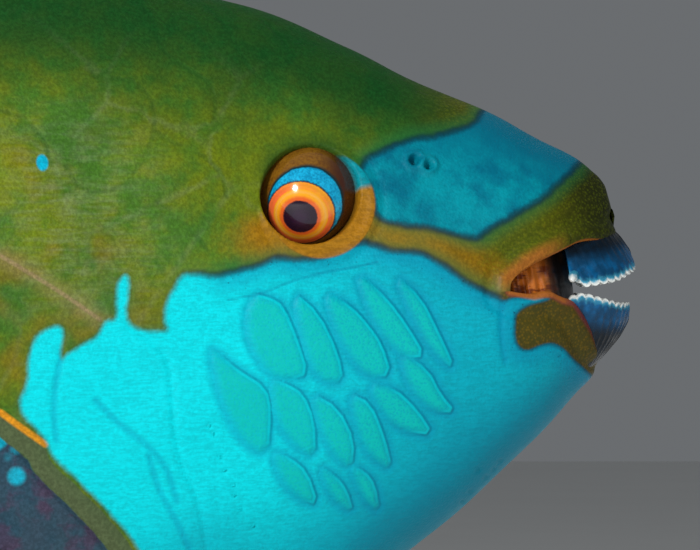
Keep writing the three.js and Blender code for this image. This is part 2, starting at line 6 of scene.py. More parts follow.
import bpy
import numpy as np
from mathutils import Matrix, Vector


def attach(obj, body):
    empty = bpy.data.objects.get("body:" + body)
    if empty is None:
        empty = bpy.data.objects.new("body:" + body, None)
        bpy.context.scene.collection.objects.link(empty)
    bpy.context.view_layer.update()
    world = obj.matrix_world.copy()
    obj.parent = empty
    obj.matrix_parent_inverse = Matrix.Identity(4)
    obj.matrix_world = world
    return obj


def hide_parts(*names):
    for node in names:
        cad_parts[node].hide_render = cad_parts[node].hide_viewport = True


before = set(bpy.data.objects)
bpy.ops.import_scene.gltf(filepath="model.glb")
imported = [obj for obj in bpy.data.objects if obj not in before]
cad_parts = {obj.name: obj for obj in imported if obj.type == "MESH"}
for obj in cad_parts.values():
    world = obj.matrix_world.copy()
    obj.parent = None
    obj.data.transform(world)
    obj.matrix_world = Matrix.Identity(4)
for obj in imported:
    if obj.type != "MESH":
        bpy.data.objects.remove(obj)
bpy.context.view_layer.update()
print("frame loaded")

pose = {"nosePitch": 10.0, "balanceStation": 140.0, "axisAboveFloor": 112.0}
pitchCos = math.cos(math.radians(pose["nosePitch"]))
pitchSin = math.sin(math.radians(pose["nosePitch"]))
bothSides = ((-1, "right"), (1, "left"))


# fish frame to metres in the room
def toRoom(points):
    station, side, height = points[..., 0], points[..., 1], points[..., 2]
    ahead = pose["balanceStation"] - station
    x = pitchCos * ahead - pitchSin * height
    z = pose["axisAboveFloor"] + pitchSin * ahead + pitchCos * height
    return np.stack([x, side, z], -1) / 1000


# a smooth curve through (x, value) pairs that never overshoots them
def through(pairs):
    xs, ys = np.array(pairs, float).T
    slopes = np.diff(ys) / np.diff(xs)
    tangents = np.concatenate([slopes[:1], slopes])
    for i in range(1, len(xs) - 1):
        before, after = slopes[i - 1], slopes[i]
        tangents[i] = 0 if before * after <= 0 else 2 * before * after / (before + after)

    def curve(x):
        x = np.clip(x, xs[0], xs[-1])
        i = np.clip(np.searchsorted(xs, x, side="right") - 1, 0, len(xs) - 2)
        span = xs[i + 1] - xs[i]
        t = (x - xs[i]) / span
        return (
            ys[i] * (2 * t**3 - 3 * t**2 + 1) + ys[i + 1] * (3 * t**2 - 2 * t**3)
            + span * (tangents[i] * (t**3 - 2 * t**2 + t) + tangents[i + 1] * (t**3 - t**2))
        )

    return curve


def smoothStep(x, low, high):
    t = np.clip((x - low) / (high - low), 0, 1)
    return t * t * (3 - 2 * t)


def bump(x, centre, width):
    return np.exp(-(((x - centre) / width) ** 2))


# body: the outlines from the side, the half width, and how it narrows toward the back
body = {
    "dorsal": through([
        (-2.3, 11), (-1.7, 16), (0.2, 18.8), (2.2, 21), (7, 24.8), (12.6, 29.2), (20, 34), (27, 38.6), (34, 44),
        (41, 49), (47, 52.4), (53, 55.2), (65, 60.5), (80, 66), (95, 70.5), (110, 73.5), (126, 75), (150, 74),
        (180, 69), (210, 60.5), (240, 49), (262, 40.5), (280, 34.5), (300, 31.5), (318, 31),
    ]),
    "ventral": through([
        (3.9, -8.4), (4.2, -11), (5.5, -13), (8.5, -15.2), (15, -20.2), (26, -27.8), (38, -34.8), (50, -40.5),
        (65, -46), (80, -50.3), (95, -53.3), (110, -55), (130, -55.5), (150, -54), (180, -47.5), (210, -37.5),
        (240, -26), (262, -17.5), (280, -12.5), (300, -10.8), (318, -11),
    ]),
    "width": through([
        (-2.3, 0), (-2.2, 1.8), (-2, 3.2), (-1, 6), (1, 8.8), (4, 11.4), (8, 13.6), (12, 15.1), (16.3, 16.3),
        (25, 18.4), (35, 20.5), (45, 22.4), (60, 25), (80, 28), (100, 30.2), (120, 31), (150, 30), (180, 26.6),
        (210, 21.2), (240, 15.2), (265, 10.6), (290, 7.4), (312, 5.6), (317, 4.2), (319.5, 2.2), (320, 0),
    ]),
    "jawShare": through([(3.9, 0.1), (4.2, 0.44), (5, 0.62), (6.5, 0.76), (9, 0.88), (12.5, 0.96), (16.3, 1)]),
    "middle": through([(20, 0), (45, 2), (80, 6), (120, 9), (200, 10), (318, 10)]),
    "keel": 1.15,
}
mouth = {
    "upper": [(-1.4, 7.7), (0.5, 7.9), (3.6, 8.6), (6.9, 7.6), (10.2, 6.7), (12.8, 5.9), (15.8, 4.1), (16.3, 2.4)],
    "lower": [
        (16.3, 2.4), (12.9, 1.0), (11.4, 1.1), (10.0, 0.9), (8.6, -0.2), (6.8, -1.0), (5.7, -3.3), (4.5, -5.9),
        (3.9, -8.4),
    ],
    "corner": (16.3, 2.4),
}


# half the body's width at a place on its side; the lower jaw is narrower in front
def halfWidth(station, height, lower=False):
    middle = body["middle"](station)
    above = height >= middle
    reach = np.where(above, body["dorsal"](station) - middle, middle - body["ventral"](station))
    outward = np.sqrt(np.clip(1 - ((height - middle) / reach) ** 2, 0, 1))
    lipLean = np.clip((12.8 - height) / 5.1, 0, 1) * 0.9 * (height > 0)
    width = body["width"](station - np.where(lower, 0, lipLean * (station < 6)))
    width = width * np.where(lower, body["jawShare"](station), 1)
    return width * np.where(above, outward ** body["keel"], outward)


# camera: level, square to the fish's right side, aimed at the picture's centre
view = {"aim": (40.0, 9.1), "distance": 0.8, "pixelsPerMm": 6.4, "sensor": 36.0, "pictureWidth": 700}
origin = {"x": 612, "y": 288}  # the pixel of the mouth plates, where station and height are 0


def addCamera():
    data = bpy.data.cameras.new("camera")
    data.sensor_width = view["sensor"]
    seenWidth = view["pictureWidth"] / view["pixelsPerMm"] / 1000
    data.lens = view["sensor"] * view["distance"] / seenWidth
    data.clip_start, data.clip_end = 0.01, 20
    camera = bpy.data.objects.new("camera", data)
    aim = toRoom(np.array([view["aim"][0], 0.0, view["aim"][1]]))
    camera.location = (aim[0], -view["distance"], aim[2])
    camera.rotation_euler = (math.pi / 2, 0, 0)
    bpy.context.scene.collection.objects.link(camera)
    bpy.context.scene.camera = camera


# picture pixels to (station, height) on the skin, allowing for the skin being nearer than the middle plane
def onSkin(pixels):
    pixels = np.array(pixels, float)
    across = (pixels[:, 0] - origin["x"]) / view["pixelsPerMm"]
    up = (origin["y"] - pixels[:, 1]) / view["pixelsPerMm"]
    station = -(across * pitchCos + up * pitchSin)
    height = -across * pitchSin + up * pitchCos
    flat = np.stack([station, height], -1)
    place = flat.copy()
    for _ in range(3):
        near = np.nan_to_num(halfWidth(place[:, 0], place[:, 1])) / 1000
        place = np.array(view["aim"]) + (flat - view["aim"]) * (1 - near / view["distance"])[:, None]
    return place


# distance from every (station, height) to a line of points
def lineDistance(station, height, line, closed=False):
    line = np.asarray(line, float)
    ends = np.roll(line, -1, 0) if closed else line[1:]
    starts = line if closed else line[:-1]
    best = np.full(station.shape, 1e9)
    for (s0, h0), (s1, h1) in zip(starts, ends):
        run, rise = s1 - s0, h1 - h0
        t = np.clip(((station - s0) * run + (height - h0) * rise) / (run * run + rise * rise + 1e-9), 0, 1)
        best = np.minimum(best, (station - s0 - t * run) ** 2 + (height - h0 - t * rise) ** 2)
    return np.sqrt(best)


# the same for a closed patch, counted positive inside it
def patchDistance(station, height, line):
    line = np.asarray(line, float)
    inside = np.zeros(station.shape, bool)
    for (s0, h0), (s1, h1) in zip(line, np.roll(line, -1, 0)):
        if h0 != h1:
            crossing = (h0 > height) != (h1 > height)
            inside ^= crossing & (station < (s1 - s0) * (height - h0) / (h1 - h0) + s0)
    distance = lineDistance(station, height, line, closed=True)
    return np.where(inside, distance, -distance)


# corners of an outline rounded off by cutting them twice
def rounded(line, closed=False, times=2):
    line = np.asarray(line, float)
    for _ in range(times):
        ends = np.roll(line, -1, 0) if closed else line[1:]
        starts = line if closed else line[:-1]
        cut = np.stack([0.75 * starts + 0.25 * ends, 0.25 * starts + 0.75 * ends], 1).reshape(-1, 2)
        line = cut if closed else np.concatenate([line[:1], cut, line[-1:]])
    return line


# markings and folds of the head, as outlines in picture pixels
markings = {
    "snout": [
        (359, 173), (365, 159), (382, 152), (403, 143), (416, 139), (440, 137), (459, 131), (474, 125), (482, 112),
        (500, 95), (600, 140), (577, 165), (560, 180), (547, 194), (527, 207), (508, 217), (489, 228), (478, 237),
        (470, 237), (455, 234), (432, 227), (411, 225), (388, 222), (376, 215), (374, 203), (369, 182),
    ],
    "cheek": [
        (503, 301), (485, 293), (466, 282), (447, 268), (432, 259), (416, 253), (397, 252), (378, 248), (359, 242),
        (325, 258), (302, 261), (275, 258), (260, 266), (232, 273), (216, 278), (196, 275), (181, 275), (174, 289),
        (166, 303), (164, 321), (169, 332), (146, 332), (129, 326), (124, 313), (128, 296), (128, 274), (119, 279),
        (116, 299), (118, 321), (103, 321), (100, 336), (80, 346), (65, 356), (61, 361), (59, 349), (64, 326),
        (46, 328), (31, 342), (28, 366), (28, 384), (15, 408), (47, 438), (49, 453), (87, 487), (119, 523),
        (142, 550), (190, 640), (330, 700), (620, 500), (640, 400), (592, 376), (583, 366), (573, 358), (566, 349),
        (554, 342), (539, 345), (527, 351), (517, 345), (515, 330), (517, 314), (527, 306), (548, 301), (548, 297),
        (510, 297),
    ],
    "margin": [
        (-140, 240), (-60, 330), (-15, 392), (14, 424), (47, 447), (49, 460), (87, 494), (119, 530), (142, 557),
        (190, 640), (330, 700), (900, 700), (900, -400), (-140, -400),
    ],
    "rust": [(372, 232), (400, 236), (430, 243), (455, 258), (478, 272), (503, 288)],
    "stripe": [(0, 412), (22, 428), (45, 444)],
    "openGroove": [(128, 325), (150, 339), (168, 357), (172, 386), (174, 428), (182, 467), (198, 495), (206, 550)],
    "lipKnob": (545, 287), "napeSpot": (42, 163), "pinkLine": [(-10, 250), (20, 268), (60, 292), (100, 320)],
}
# leaf-shaped plates under the eye, then the creases behind them and the fold above them
cheekLeaves = [
    [(255, 295), (270, 298), (283, 306), (297, 340), (308, 374), (290, 379), (269, 375), (250, 345), (246, 318)],
    [(293, 292), (318, 313), (338, 354), (343, 382), (318, 380), (303, 345)],
    [(325, 292), (350, 306), (368, 325), (382, 345), (391, 375), (368, 377), (347, 352), (333, 325)],
    [(356, 271), (387, 299), (408, 327), (425, 356), (405, 358), (386, 340), (368, 310)],
    [(394, 275), (421, 298), (439, 334), (455, 370), (433, 353), (415, 322)],
    [(210, 349), (222, 358), (240, 372), (266, 388), (271, 412), (267, 456), (241, 440), (221, 400)],
    [(271, 380), (286, 384), (303, 394), (314, 420), (315, 458), (292, 444), (274, 415)],
    [(312, 394), (338, 408), (354, 441), (351, 470), (331, 452), (318, 423)],
    [(350, 394), (370, 403), (384, 437), (392, 470), (370, 457), (356, 430)],
    [(368, 384), (394, 388), (418, 411), (433, 435), (404, 431), (382, 414)],
    [(400, 352), (428, 370), (440, 394), (456, 413), (432, 411), (408, 387)],
    [(319, 466), (337, 478), (347, 491), (353, 513), (331, 498)],
    [(350, 466), (365, 472), (375, 485), (379, 512), (362, 498)],
    [(272, 452), (290, 458), (307, 472), (318, 505), (298, 498), (280, 478)],
]
cheekCreases = [
    [(95, 400), (120, 425), (150, 447), (168, 470), (176, 500)], [(62, 352), (54, 385), (53, 420), (56, 440)],
    [(148, 455), (158, 490), (176, 520), (190, 552)], [(503, 300), (500, 330), (505, 362)],
]
underEyeFold = [(228, 300), (268, 292), (281, 285), (302, 278), (329, 271), (352, 268), (377, 262)]
# edges of the large scales behind the eye, and the row of pores low on the gill cover
napeScales = [
    [(47, 4), (58, 16), (74, 20), (80, 0)],
    [(89, 65), (96, 80), (112, 78), (134, 83), (147, 94), (154, 112), (154, 132), (147, 152), (134, 172)],
    [(134, 0), (154, 16), (158, 45), (170, 58), (190, 71), (205, 78), (214, 91), (216, 118), (205, 140)],
    [(205, 7), (223, 22), (241, 56), (254, 74), (272, 87), (288, 109)],
    [(261, 20), (277, 33), (287, 45), (290, 62)],
    [(299, 83), (310, 98), (308, 116)],
    [(156, 132), (172, 143), (201, 154), (222, 172), (226, 196)],
    [(65, 165), (74, 183), (85, 190), (105, 192), (128, 184)],
    [(147, 192), (167, 212), (192, 230), (206, 250)],
    [(0, 255), (20, 268), (60, 292), (100, 320)],
    [(0, 110), (22, 118), (44, 138), (50, 165)],
]
breathPores = [
    (209, 426), (213, 434), (220, 457), (225, 470), (233, 485), (234, 495), (240, 509), (253, 526),
    (478, 470), (486, 478), (494, 470), (470, 492), (500, 462), (462, 502),
]

# a rim of flesh stands round each eye, and two small nostrils lie before it
eyes = {
    "station": 44.5, "height": 22.3, "radius": 8.2, "depth": 7.35, "turnDown": 0.42, "lookBack": 0.19,
    "opening": 7.55, "openFore": 0.7, "socketDepth": 7.0,
    "rimRadius": 7.9, "rimWidth": 0.9, "rimRise": 0.4, "rimFore": 2.0, "rimBelow": 1.9, "rimGroove": 0.16,
}
nostrils = [
    {"station": 27.2, "height": 24.8, "radius": 0.75, "rise": 0.35},
    {"station": 25.2, "height": 23.6, "radius": 0.55, "rise": 0.5},
]
relief = {
    "coverStep": 0.9, "marginWidth": 3.5, "marginGroove": 0.3, "leafRise": 0.22, "nostrilDepth": 1.6,
    "underScales": 0.45, "swell": 0.18,
}
lineRelief = [  # raised and sunk lines: the field, the distance from its line, width and height
    ("lip", 1.0, 1.0, 0.55), ("lip", 3.4, 0.8, -0.3), ("knob", 0.0, 1.5, 1.1), ("fold", 0.0, 0.34, -0.07),
    ("leaf", -0.55, 0.35, -0.1), ("crease", 0.0, 0.5, -0.16), ("plate", 0.0, 0.28, -0.07),
    ("groove", 0.0, 0.55, -0.3), ("pore", 0.0, 0.35, -0.35),
]
headReach = 125.0  # no mark of the head lies behind this station
farAway, farOutside = 60.0, -30.0  # what a distance reads where nothing is near


# every field that shape and colour depend on, from the place on the side
def headFields(station, height, lower):
    near = station < headReach
    s, h = station[near], height[near]

    def nearest(lines):
        return np.minimum.reduce([lineDistance(s, h, rounded(onSkin(line))) for line in lines])

    def spotDistance(name, stretchAlong, stretchUp):
        spot = onSkin([markings[name]])[0]
        return np.hypot((s - spot[0]) * stretchAlong, (h - spot[1]) * stretchUp)

    eyeBack, eyeUp = s - eyes["station"], h - eyes["height"]
    eyeAway = np.maximum(0.5, np.hypot(eyeBack, eyeUp))
    pores = np.minimum.reduce([np.hypot(s - place[0], h - place[1]) for place in onSkin(breathPores)])
    lip = np.where(lower[near], lineDistance(s, h, mouth["lower"]), lineDistance(s, h, mouth["upper"]))
    away = {
        "rust": nearest([markings["rust"]]), "stripe": lineDistance(s, h, onSkin(markings["stripe"])),
        "groove": nearest([markings["openGroove"]]), "pinkLine": nearest([markings["pinkLine"]]),
        "fold": nearest([underEyeFold]), "crease": nearest(cheekCreases), "plate": nearest(napeScales),
        "pore": pores, "lip": lip, "eye": np.hypot(eyeBack + eyes["openFore"], eyeUp),
        "rim": np.hypot(eyeBack + eyes["rimFore"], eyeUp + eyes["rimBelow"]),
        "napeSpot": spotDistance("napeSpot", 1.4, 1.0), "knob": spotDistance("lipKnob", 1.0, 1.3),
    }
    fields = {name: scatter(near, values, farAway) for name, values in away.items()}
    for name in ("snout", "cheek", "margin"):
        patch = rounded(onSkin(markings[name]), closed=True)
        fields[name] = scatter(near, patchDistance(s, h, patch), farOutside)
    fields["eyeUp"] = scatter(near, eyeUp / eyeAway, 0.0)
    fields["eyeFore"] = scatter(near, -eyeBack / eyeAway, 0.0)
    fields.update(leafFields(station, height))
    return fields


# how far inside a leaf-shaped plate a place is, and how far toward that plate's front edge
def leafFields(station, height):
    zone = (station < 95) & (station > 14) & (height < 16)
    s, h = station[zone], height[zone]
    depth, fore = np.full(len(s), farOutside), np.zeros(len(s))
    for leaf in cheekLeaves:
        outline = rounded(onSkin(leaf), closed=True, times=1)
        inside = patchDistance(s, h, outline)
        middle = outline.mean(0)
        fore = np.where(inside > depth, middle[0] - s + 0.3 * (h - middle[1]), fore)
        depth = np.maximum(depth, inside)
    return {"leaf": scatter(zone, depth, farOutside), "leafFore": scatter(zone, fore, 0.0)}


def scatter(mask, values, empty):
    full = np.full(mask.shape, float(empty))
    full[mask] = values
    return full


# how far the skin stands out from the body's plain form
def skinRise(station, height, fields):
    edge = -relief["marginWidth"]
    onSide = 1 - smoothStep(height, 14, 30)
    cover = smoothStep(fields["margin"], edge - 0.5, edge + 0.5)
    rise = onSide * relief["coverStep"] * cover * (1 - smoothStep(fields["margin"], 4, 26))
    rise -= relief["marginGroove"] * onSide * bump(fields["margin"], 0, 0.5)
    rise -= relief["underScales"] * smoothStep(station, 90, 104) * (1 - cover * onSide)
    rise += relief["leafRise"] * smoothStep(fields["leaf"], -0.5, 0.9)
    for field, away, width, out in lineRelief:
        rise += out * bump(fields[field], away, width)
    for nostril in nostrils:
        away = np.hypot(station - nostril["station"], height - nostril["height"])
        rise += nostril["rise"] * bump(away, nostril["radius"] + 0.55, 0.42)
        hole = 1 - smoothStep(away, nostril["radius"] * 0.55, nostril["radius"] * 1.15)
        rise -= relief["nostrilDepth"] * hole
    rimBelow, rimAhead = 1 - smoothStep(fields["eyeUp"], -0.3, 0.3), smoothStep(fields["eyeFore"], 0.4, 0.8)
    rim = eyes["rimRise"] * bump(fields["rim"], eyes["rimRadius"], eyes["rimWidth"])
    rim -= eyes["rimGroove"] * bump(fields["rim"], eyes["rimRadius"] + 1.7, 0.5)
    rise += np.maximum(rimBelow, 0.8 * rimAhead) * rim
    rise -= eyes["socketDepth"] * (1 - smoothStep(fields["eye"], eyes["opening"] - 0.9, eyes["opening"] + 0.2))
    swell = np.sin(station * 0.23 + height * 0.11) * np.sin(height * 0.27 - station * 0.07 + 1.3)
    return rise + relief["swell"] * swell * smoothStep(fields["eye"], 8, 16)


# the four corners of every cell of a grid of points, by number
def gridQuads(rows, columns, wrap=False):
    across = np.arange(columns if wrap else columns - 1)
    ahead = (across + 1) % columns
    base = (np.arange(rows - 1) * columns)[:, None]
    corners = [base + across, base + ahead, base + columns + ahead, base + columns + across]
    return np.stack(corners, -1).reshape(-1, 4)


# one mesh object on the root body, with its fields as attributes, hiding the CAD nodes that it stands for
def makePiece(name, points, quads, fields, material, nodes):
    mesh = bpy.data.meshes.new(name)
    mesh.vertices.add(len(points))
    mesh.vertices.foreach_set("co", toRoom(points).astype(np.float32).ravel())
    mesh.loops.add(quads.size)
    mesh.polygons.add(len(quads))
    mesh.polygons.foreach_set("loop_start", np.arange(0, quads.size, 4))
    mesh.polygons.foreach_set("vertices", quads.ravel())
    mesh.update(calc_edges=True)
    mesh.shade_smooth()
    for field, values in fields.items():
        attribute = mesh.attributes.new(field, "FLOAT", "POINT")
        attribute.data.foreach_set("value", np.asarray(values, np.float32).ravel())
    mesh.materials.append(material)
    piece = bpy.data.objects.new(name, mesh)
    bpy.context.scene.collection.objects.link(piece)
    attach(piece, "root")
    if nodes:
        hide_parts(*nodes)
    return piece


# a surface that closes round on itself
def buildRound(name, points, fields, material, nodes):
    quads = gridQuads(*points.shape[:2], wrap=True)
    makePiece(name, points.reshape(-1, 3), quads, fields, material, nodes)


# points from station, side and height, where each may run along rows, columns or both
def grid(station, side, height):
    return np.stack(np.broadcast_arrays(station, side, height), -1)


# angles right round, for the columns of a round surface
def turnsRound(count):
    return np.linspace(0, 2 * math.pi, count, endpoint=False)[None, :]


def unit(vectors):
    return vectors / np.maximum(1e-9, np.linalg.norm(vectors, axis=-1, keepdims=True))


def gridNormals(points, wrap=False):
    if wrap:
        across = np.roll(points, -1, 1) - np.roll(points, 1, 1)
    else:
        across = np.gradient(points, axis=1)
    return unit(np.cross(np.gradient(points, axis=0), across))


# a closed sheet between two grids of points
def closedSlab(front, back):
    rows, columns = front.shape[:2]
    count = rows * columns
    quads = gridQuads(rows, columns)
    order = np.arange(count).reshape(rows, columns)
    rim = np.concatenate([order[:-1, 0], order[-1, :-1], order[:0:-1, -1], order[0, :0:-1]])
    nextRim = np.roll(rim, -1)
    sides = np.stack([rim, nextRim, nextRim + count, rim + count], -1)
    points = np.concatenate([front.reshape(-1, 3), back.reshape(-1, 3)])
    return points, np.concatenate([quads[:, ::-1], quads + count, sides])


# evenly spaced points on a line, at the given shares of its length
def along(line, shares):
    line = np.asarray(line, float)
    lengths = np.concatenate([[0], np.cumsum(np.hypot(*np.diff(line, axis=0).T))])
    at = np.asarray(shares) * lengths[-1]
    return np.stack([np.interp(at, lengths, line[:, 0]), np.interp(at, lengths, line[:, 1])], -1)


# skin: rows run from the edge of the mouth to the tail, and each row goes right round the body
skin = {
    "faceRows": 250, "faceEnd": 60.0, "headRows": 130, "headEnd": 106.0, "bodyRows": 150, "bodyEnd": 312.0,
    "endRows": 12, "endLength": 8.0, "around": 190, "lining": 26, "lipDepth": 4.5, "throat": (24.0, 0.0, 2.4),
}


# places on the right side as (station, height), and how far round from back to belly each column lies
def skinRows():
    turns = np.arange(2 * skin["around"] + 1) / (2 * skin["around"])
    down = (1 - np.cos(math.pi * turns)) / 2
    half = skin["around"]
    upperShare, lowerShare = down[: half + 1] * 2, down[half:] * 2 - 1
    upperLip = along(rounded(mouth["upper"]), upperShare)
    lowerLip = along(rounded(mouth["lower"]), lowerShare)
    end = skin["faceEnd"]

    def fromFront(first, curve):
        stations = first + (end - first) * np.linspace(0, 1, 500) ** 2
        return list(zip(stations, curve(stations)))

    shares = np.linspace(0, 1, skin["faceRows"])
    back = along([mouth["upper"][0]] + fromFront(-2.3, body["dorsal"]), shares)
    belly = along(fromFront(3.9, body["ventral"]), shares)
    middleEnd = (end, (float(body["dorsal"](end)) + float(body["ventral"](end))) / 2)
    corner = along([mouth["corner"], middleEnd], shares)
    rows = []
    for share, top, side, bottom in zip(shares, back, corner, belly):
        fade = (1 - share) ** 2
        upper = top + (side - top) * upperShare[:, None]
        lower = side + (bottom - side) * lowerShare[:, None]
        upper += fade * (upperLip - upperLip[0] - (upperLip[-1] - upperLip[0]) * upperShare[:, None])
        lower += fade * (lowerLip - lowerLip[0] - (lowerLip[-1] - lowerLip[0]) * lowerShare[:, None])
        rows.append(np.concatenate([upper, lower[1:]]))
    stations = np.concatenate([
        np.linspace(end, skin["headEnd"], skin["headRows"] + 1)[1:],
        np.linspace(skin["headEnd"], skin["bodyEnd"], skin["bodyRows"])[1:],
        skin["bodyEnd"] + skin["endLength"] * np.sin(np.linspace(0, math.pi / 2, skin["endRows"]))[1:],
    ])
    for station in stations:
        top, bottom = float(body["dorsal"](station)), float(body["ventral"](station))
        rows.append(np.stack([np.full(down.shape, station), top + (bottom - top) * down], -1))
    return np.array(rows), down


def buildSkin(material):
    flat, down = skinRows()
    station, height = flat[..., 0], flat[..., 1]
    lower = np.broadcast_to(down > 0.5, station.shape)
    width = halfWidth(station, height, lower)
    width[:, [0, -1]] = 0
    # the right side from back to belly, then the left side from belly to back
    order = np.concatenate([np.arange(down.size), np.arange(down.size - 2, 0, -1)])
    side = np.where(np.arange(order.size) < down.size, -1.0, 1.0)
    points = np.stack([station[:, order], side * width[:, order], height[:, order]], -1)
    normals = gridNormals(points, wrap=True)
    if normals[300, down.size // 2, 1] > 0:
        normals = -normals
    station, height, lower = (grid[:, order].ravel() for grid in (station, height, lower))
    fields = headFields(station, height, lower)
    rise = skinRise(station, height, fields).reshape(points.shape[:2])
    points = points + normals * rise[..., None]
    count = skin["lining"]
    for name in fields:
        grid = fields[name].reshape(points.shape[:2])
        fields[name] = np.concatenate([np.repeat(grid[:1], count, 0), grid]).ravel()
    isLower = down[order] > 0.5
    lining = mouthLining(points[0], normals[0], isLower)
    inside = np.repeat(np.arange(count, 0, -1) / count, order.size)
    fields["inside"] = np.concatenate([inside, np.zeros(station.size)])
    points = np.concatenate([lining, points])
    fields["lower"] = np.tile(isLower.astype(float), len(points))
    fields.update(bodyFields(points[..., 0].ravel(), points[..., 2].ravel()))
    fields["scaleEdge"] = np.full(points[..., 0].size, 9.0)
    quads = gridQuads(len(points), order.size, wrap=True)
    nodes = (
        "head", "lower_jaw", "upper_lip", "lower_lip", "gill_cover_right", "gill_cover_left", "trunk", "tail_base",
    )
    makePiece("skin", points.reshape(-1, 3), quads, fields, material, nodes)


# the lining rolls in from the lips and closes far back in the mouth
def mouthLining(edge, outward, isLower):
    outward = unit(outward * (1, 1, 0))
    cornerStation, cornerHeight = mouth["corner"]
    openness = np.clip(np.hypot(edge[:, 0] - cornerStation, edge[:, 2] - cornerHeight) / 5, 0, 1)
    away = np.where(isLower, -1.0, 1.0) * openness
    lining = []
    for inward in np.arange(skin["lining"], 0, -1) / skin["lining"]:
        roll = min(1.0, inward * 2.5)
        place = edge - outward * (skin["lipDepth"] * roll**1.3)
        place[:, 2] += away * (-0.9 * math.sin(math.pi * roll) * (1 - 0.3 * roll) + 2.2 * roll**2)
        deep = max(0.0, (inward - 0.4) / 0.6)
        lining.append(place + (np.array(skin["throat"]) - place) * deep**1.4)
    return np.array(lining)


# what both skin and scales are coloured by: place, and level from -1 at the belly to 1 at the back
def bodyFields(station, height):
    top, bottom, middle = body["dorsal"](station), body["ventral"](station), body["middle"](station)
    level = np.where(height > middle, (height - middle) / (top - middle), (height - middle) / (middle - bottom))
    return {"station": station, "height": height, "level": np.clip(level, -1.2, 1.2)}


# scales: overlapping plates in staggered rows over the trunk and tail base
scales = {
    "first": 90.0, "last": 311.0, "pitch": 9.8, "rows": 12, "overlap": 1.75, "spread": 1.16, "rise": 0.95,
    "sunk": 0.55, "thickness": 0.45, "steps": 13, "seed": 7, "allFrom": 118.0, "cell": 0.028,
}


def buildScales(material):
    random = np.random.default_rng(scales["seed"])
    steps = scales["steps"]
    a = np.concatenate([np.linspace(0, 1, steps), [1.0]])[:, None]
    b = np.concatenate([[-1.0], np.linspace(-1, 1, steps), [1.0]])[None, :]
    lift = -scales["sunk"] + scales["rise"] * a * (1 - 0.35 * b**2)
    rim = np.zeros(lift.shape, bool)
    rim[-1] = rim[:, 0] = rim[:, -1] = True
    lift[rim] -= scales["thickness"] + 0.3
    quads = gridQuads(*lift.shape)
    halfTurn = scales["spread"] / scales["rows"]
    for side, word in bothSides:
        column, station = 0, scales["first"]
        raised, bases, edges, cells = [], [], [], []
        while station < scales["last"]:
            pitch = scales["pitch"] * (1 - 0.25 * (station / scales["last"]) ** 3)
            for row in range(scales["rows"] + column % 2):
                turn = (row + (0.5 if column % 2 == 0 else 0.0)) / scales["rows"]
                length = pitch * scales["overlap"] * (1 + random.uniform(-0.04, 0.04))
                s = station + length * a * (1 - 0.33 * b**2 * a)
                t = turn + b * halfTurn * 0.5 * (1 - 0.1 * a**2) + random.uniform(-0.004, 0.004)
                t = np.clip(t, -0.06, 1.06)
                top, bottom = body["dorsal"](s), body["ventral"](s)
                h = top + (bottom - top) * (1 - np.cos(math.pi * t)) / 2
                y = halfWidth(s, h) * np.where((t < 0) | (t > 1), -1, 1)
                if keepScale(station + length * 0.6, float(h[steps // 2, steps // 2])):
                    points = np.stack([s, side * y, h], -1)
                    bases.append(points)
                    raised.append(points + scaleNormals(s, h, side) * lift[..., None])
                    edges.append(np.minimum(length * (1 - a), (1 - np.abs(b)) * 7 + 0.5 * (1 - a) * length))
                    cells.append((column, row))
            column += 1
            station += pitch
        allQuads = (quads + (np.arange(len(raised)) * lift.size)[:, None, None]).reshape(-1, 4)
        base = np.array(bases).reshape(-1, 3)
        nothing = np.zeros(len(base))
        fields = headFields(base[:, 0], base[:, 2], nothing > 0)
        fields.update(bodyFields(base[:, 0], base[:, 2]))
        fields.update({"inside": nothing, "lower": nothing, "scaleEdge": np.array(edges)})
        points = np.array(raised).reshape(-1, 3)
        piece = makePiece(f"scales_{word}", points, allQuads, fields, material, ())
        addCells(piece, cells, a, b, allQuads)


# scales start behind the gill cover, but lie on the nape a little before it
def keepScale(station, height):
    if station > scales["allFrom"] or (height > 26 and station > 99):
        return True
    margin = rounded(onSkin(markings["margin"]), closed=True)
    return patchDistance(np.array([station]), np.array([height]), margin)[0] < -3.0


# outward directions for a scale, from the body's own form
def scaleNormals(s, h, side):
    step = 0.8
    middle = body["middle"](s)
    slopeAlong = (halfWidth(s + step, h) - halfWidth(s - step, h)) / (2 * step)
    slopeUp = (halfWidth(s, h + step) - halfWidth(s, h - step)) / (2 * step)
    reach = np.where(h > middle, body["dorsal"](s) - middle, middle - body["ventral"](s))
    normal = unit(grid(-slopeAlong, float(side), -slopeUp))
    pole = np.sign(h - middle)[..., None] * (0, 0, 1)
    blend = smoothStep(np.clip(np.abs(h - middle) / reach, 0, 1), 0.97, 1.0)[..., None]
    return unit(normal * (1 - blend) + pole * blend)


# each scale's patch on an unwrap of the body: the station runs across and the row runs up
def addCells(piece, cells, a, b, quads):
    cell = scales["cell"]
    patch = np.stack(np.broadcast_arrays(cell * a, cell * (1 + b)), -1).reshape(-1, 2)
    places = [(0.02 + column * 0.036, 0.02 + (row + 0.5 * (column % 2)) * 0.07) for column, row in cells]
    corners = (np.array(places)[:, None] + patch).reshape(-1, 2)
    layer = piece.data.uv_layers.new(name="OFBake")
    layer.data.foreach_set("uv", corners[quads.ravel()].astype(np.float32).ravel())


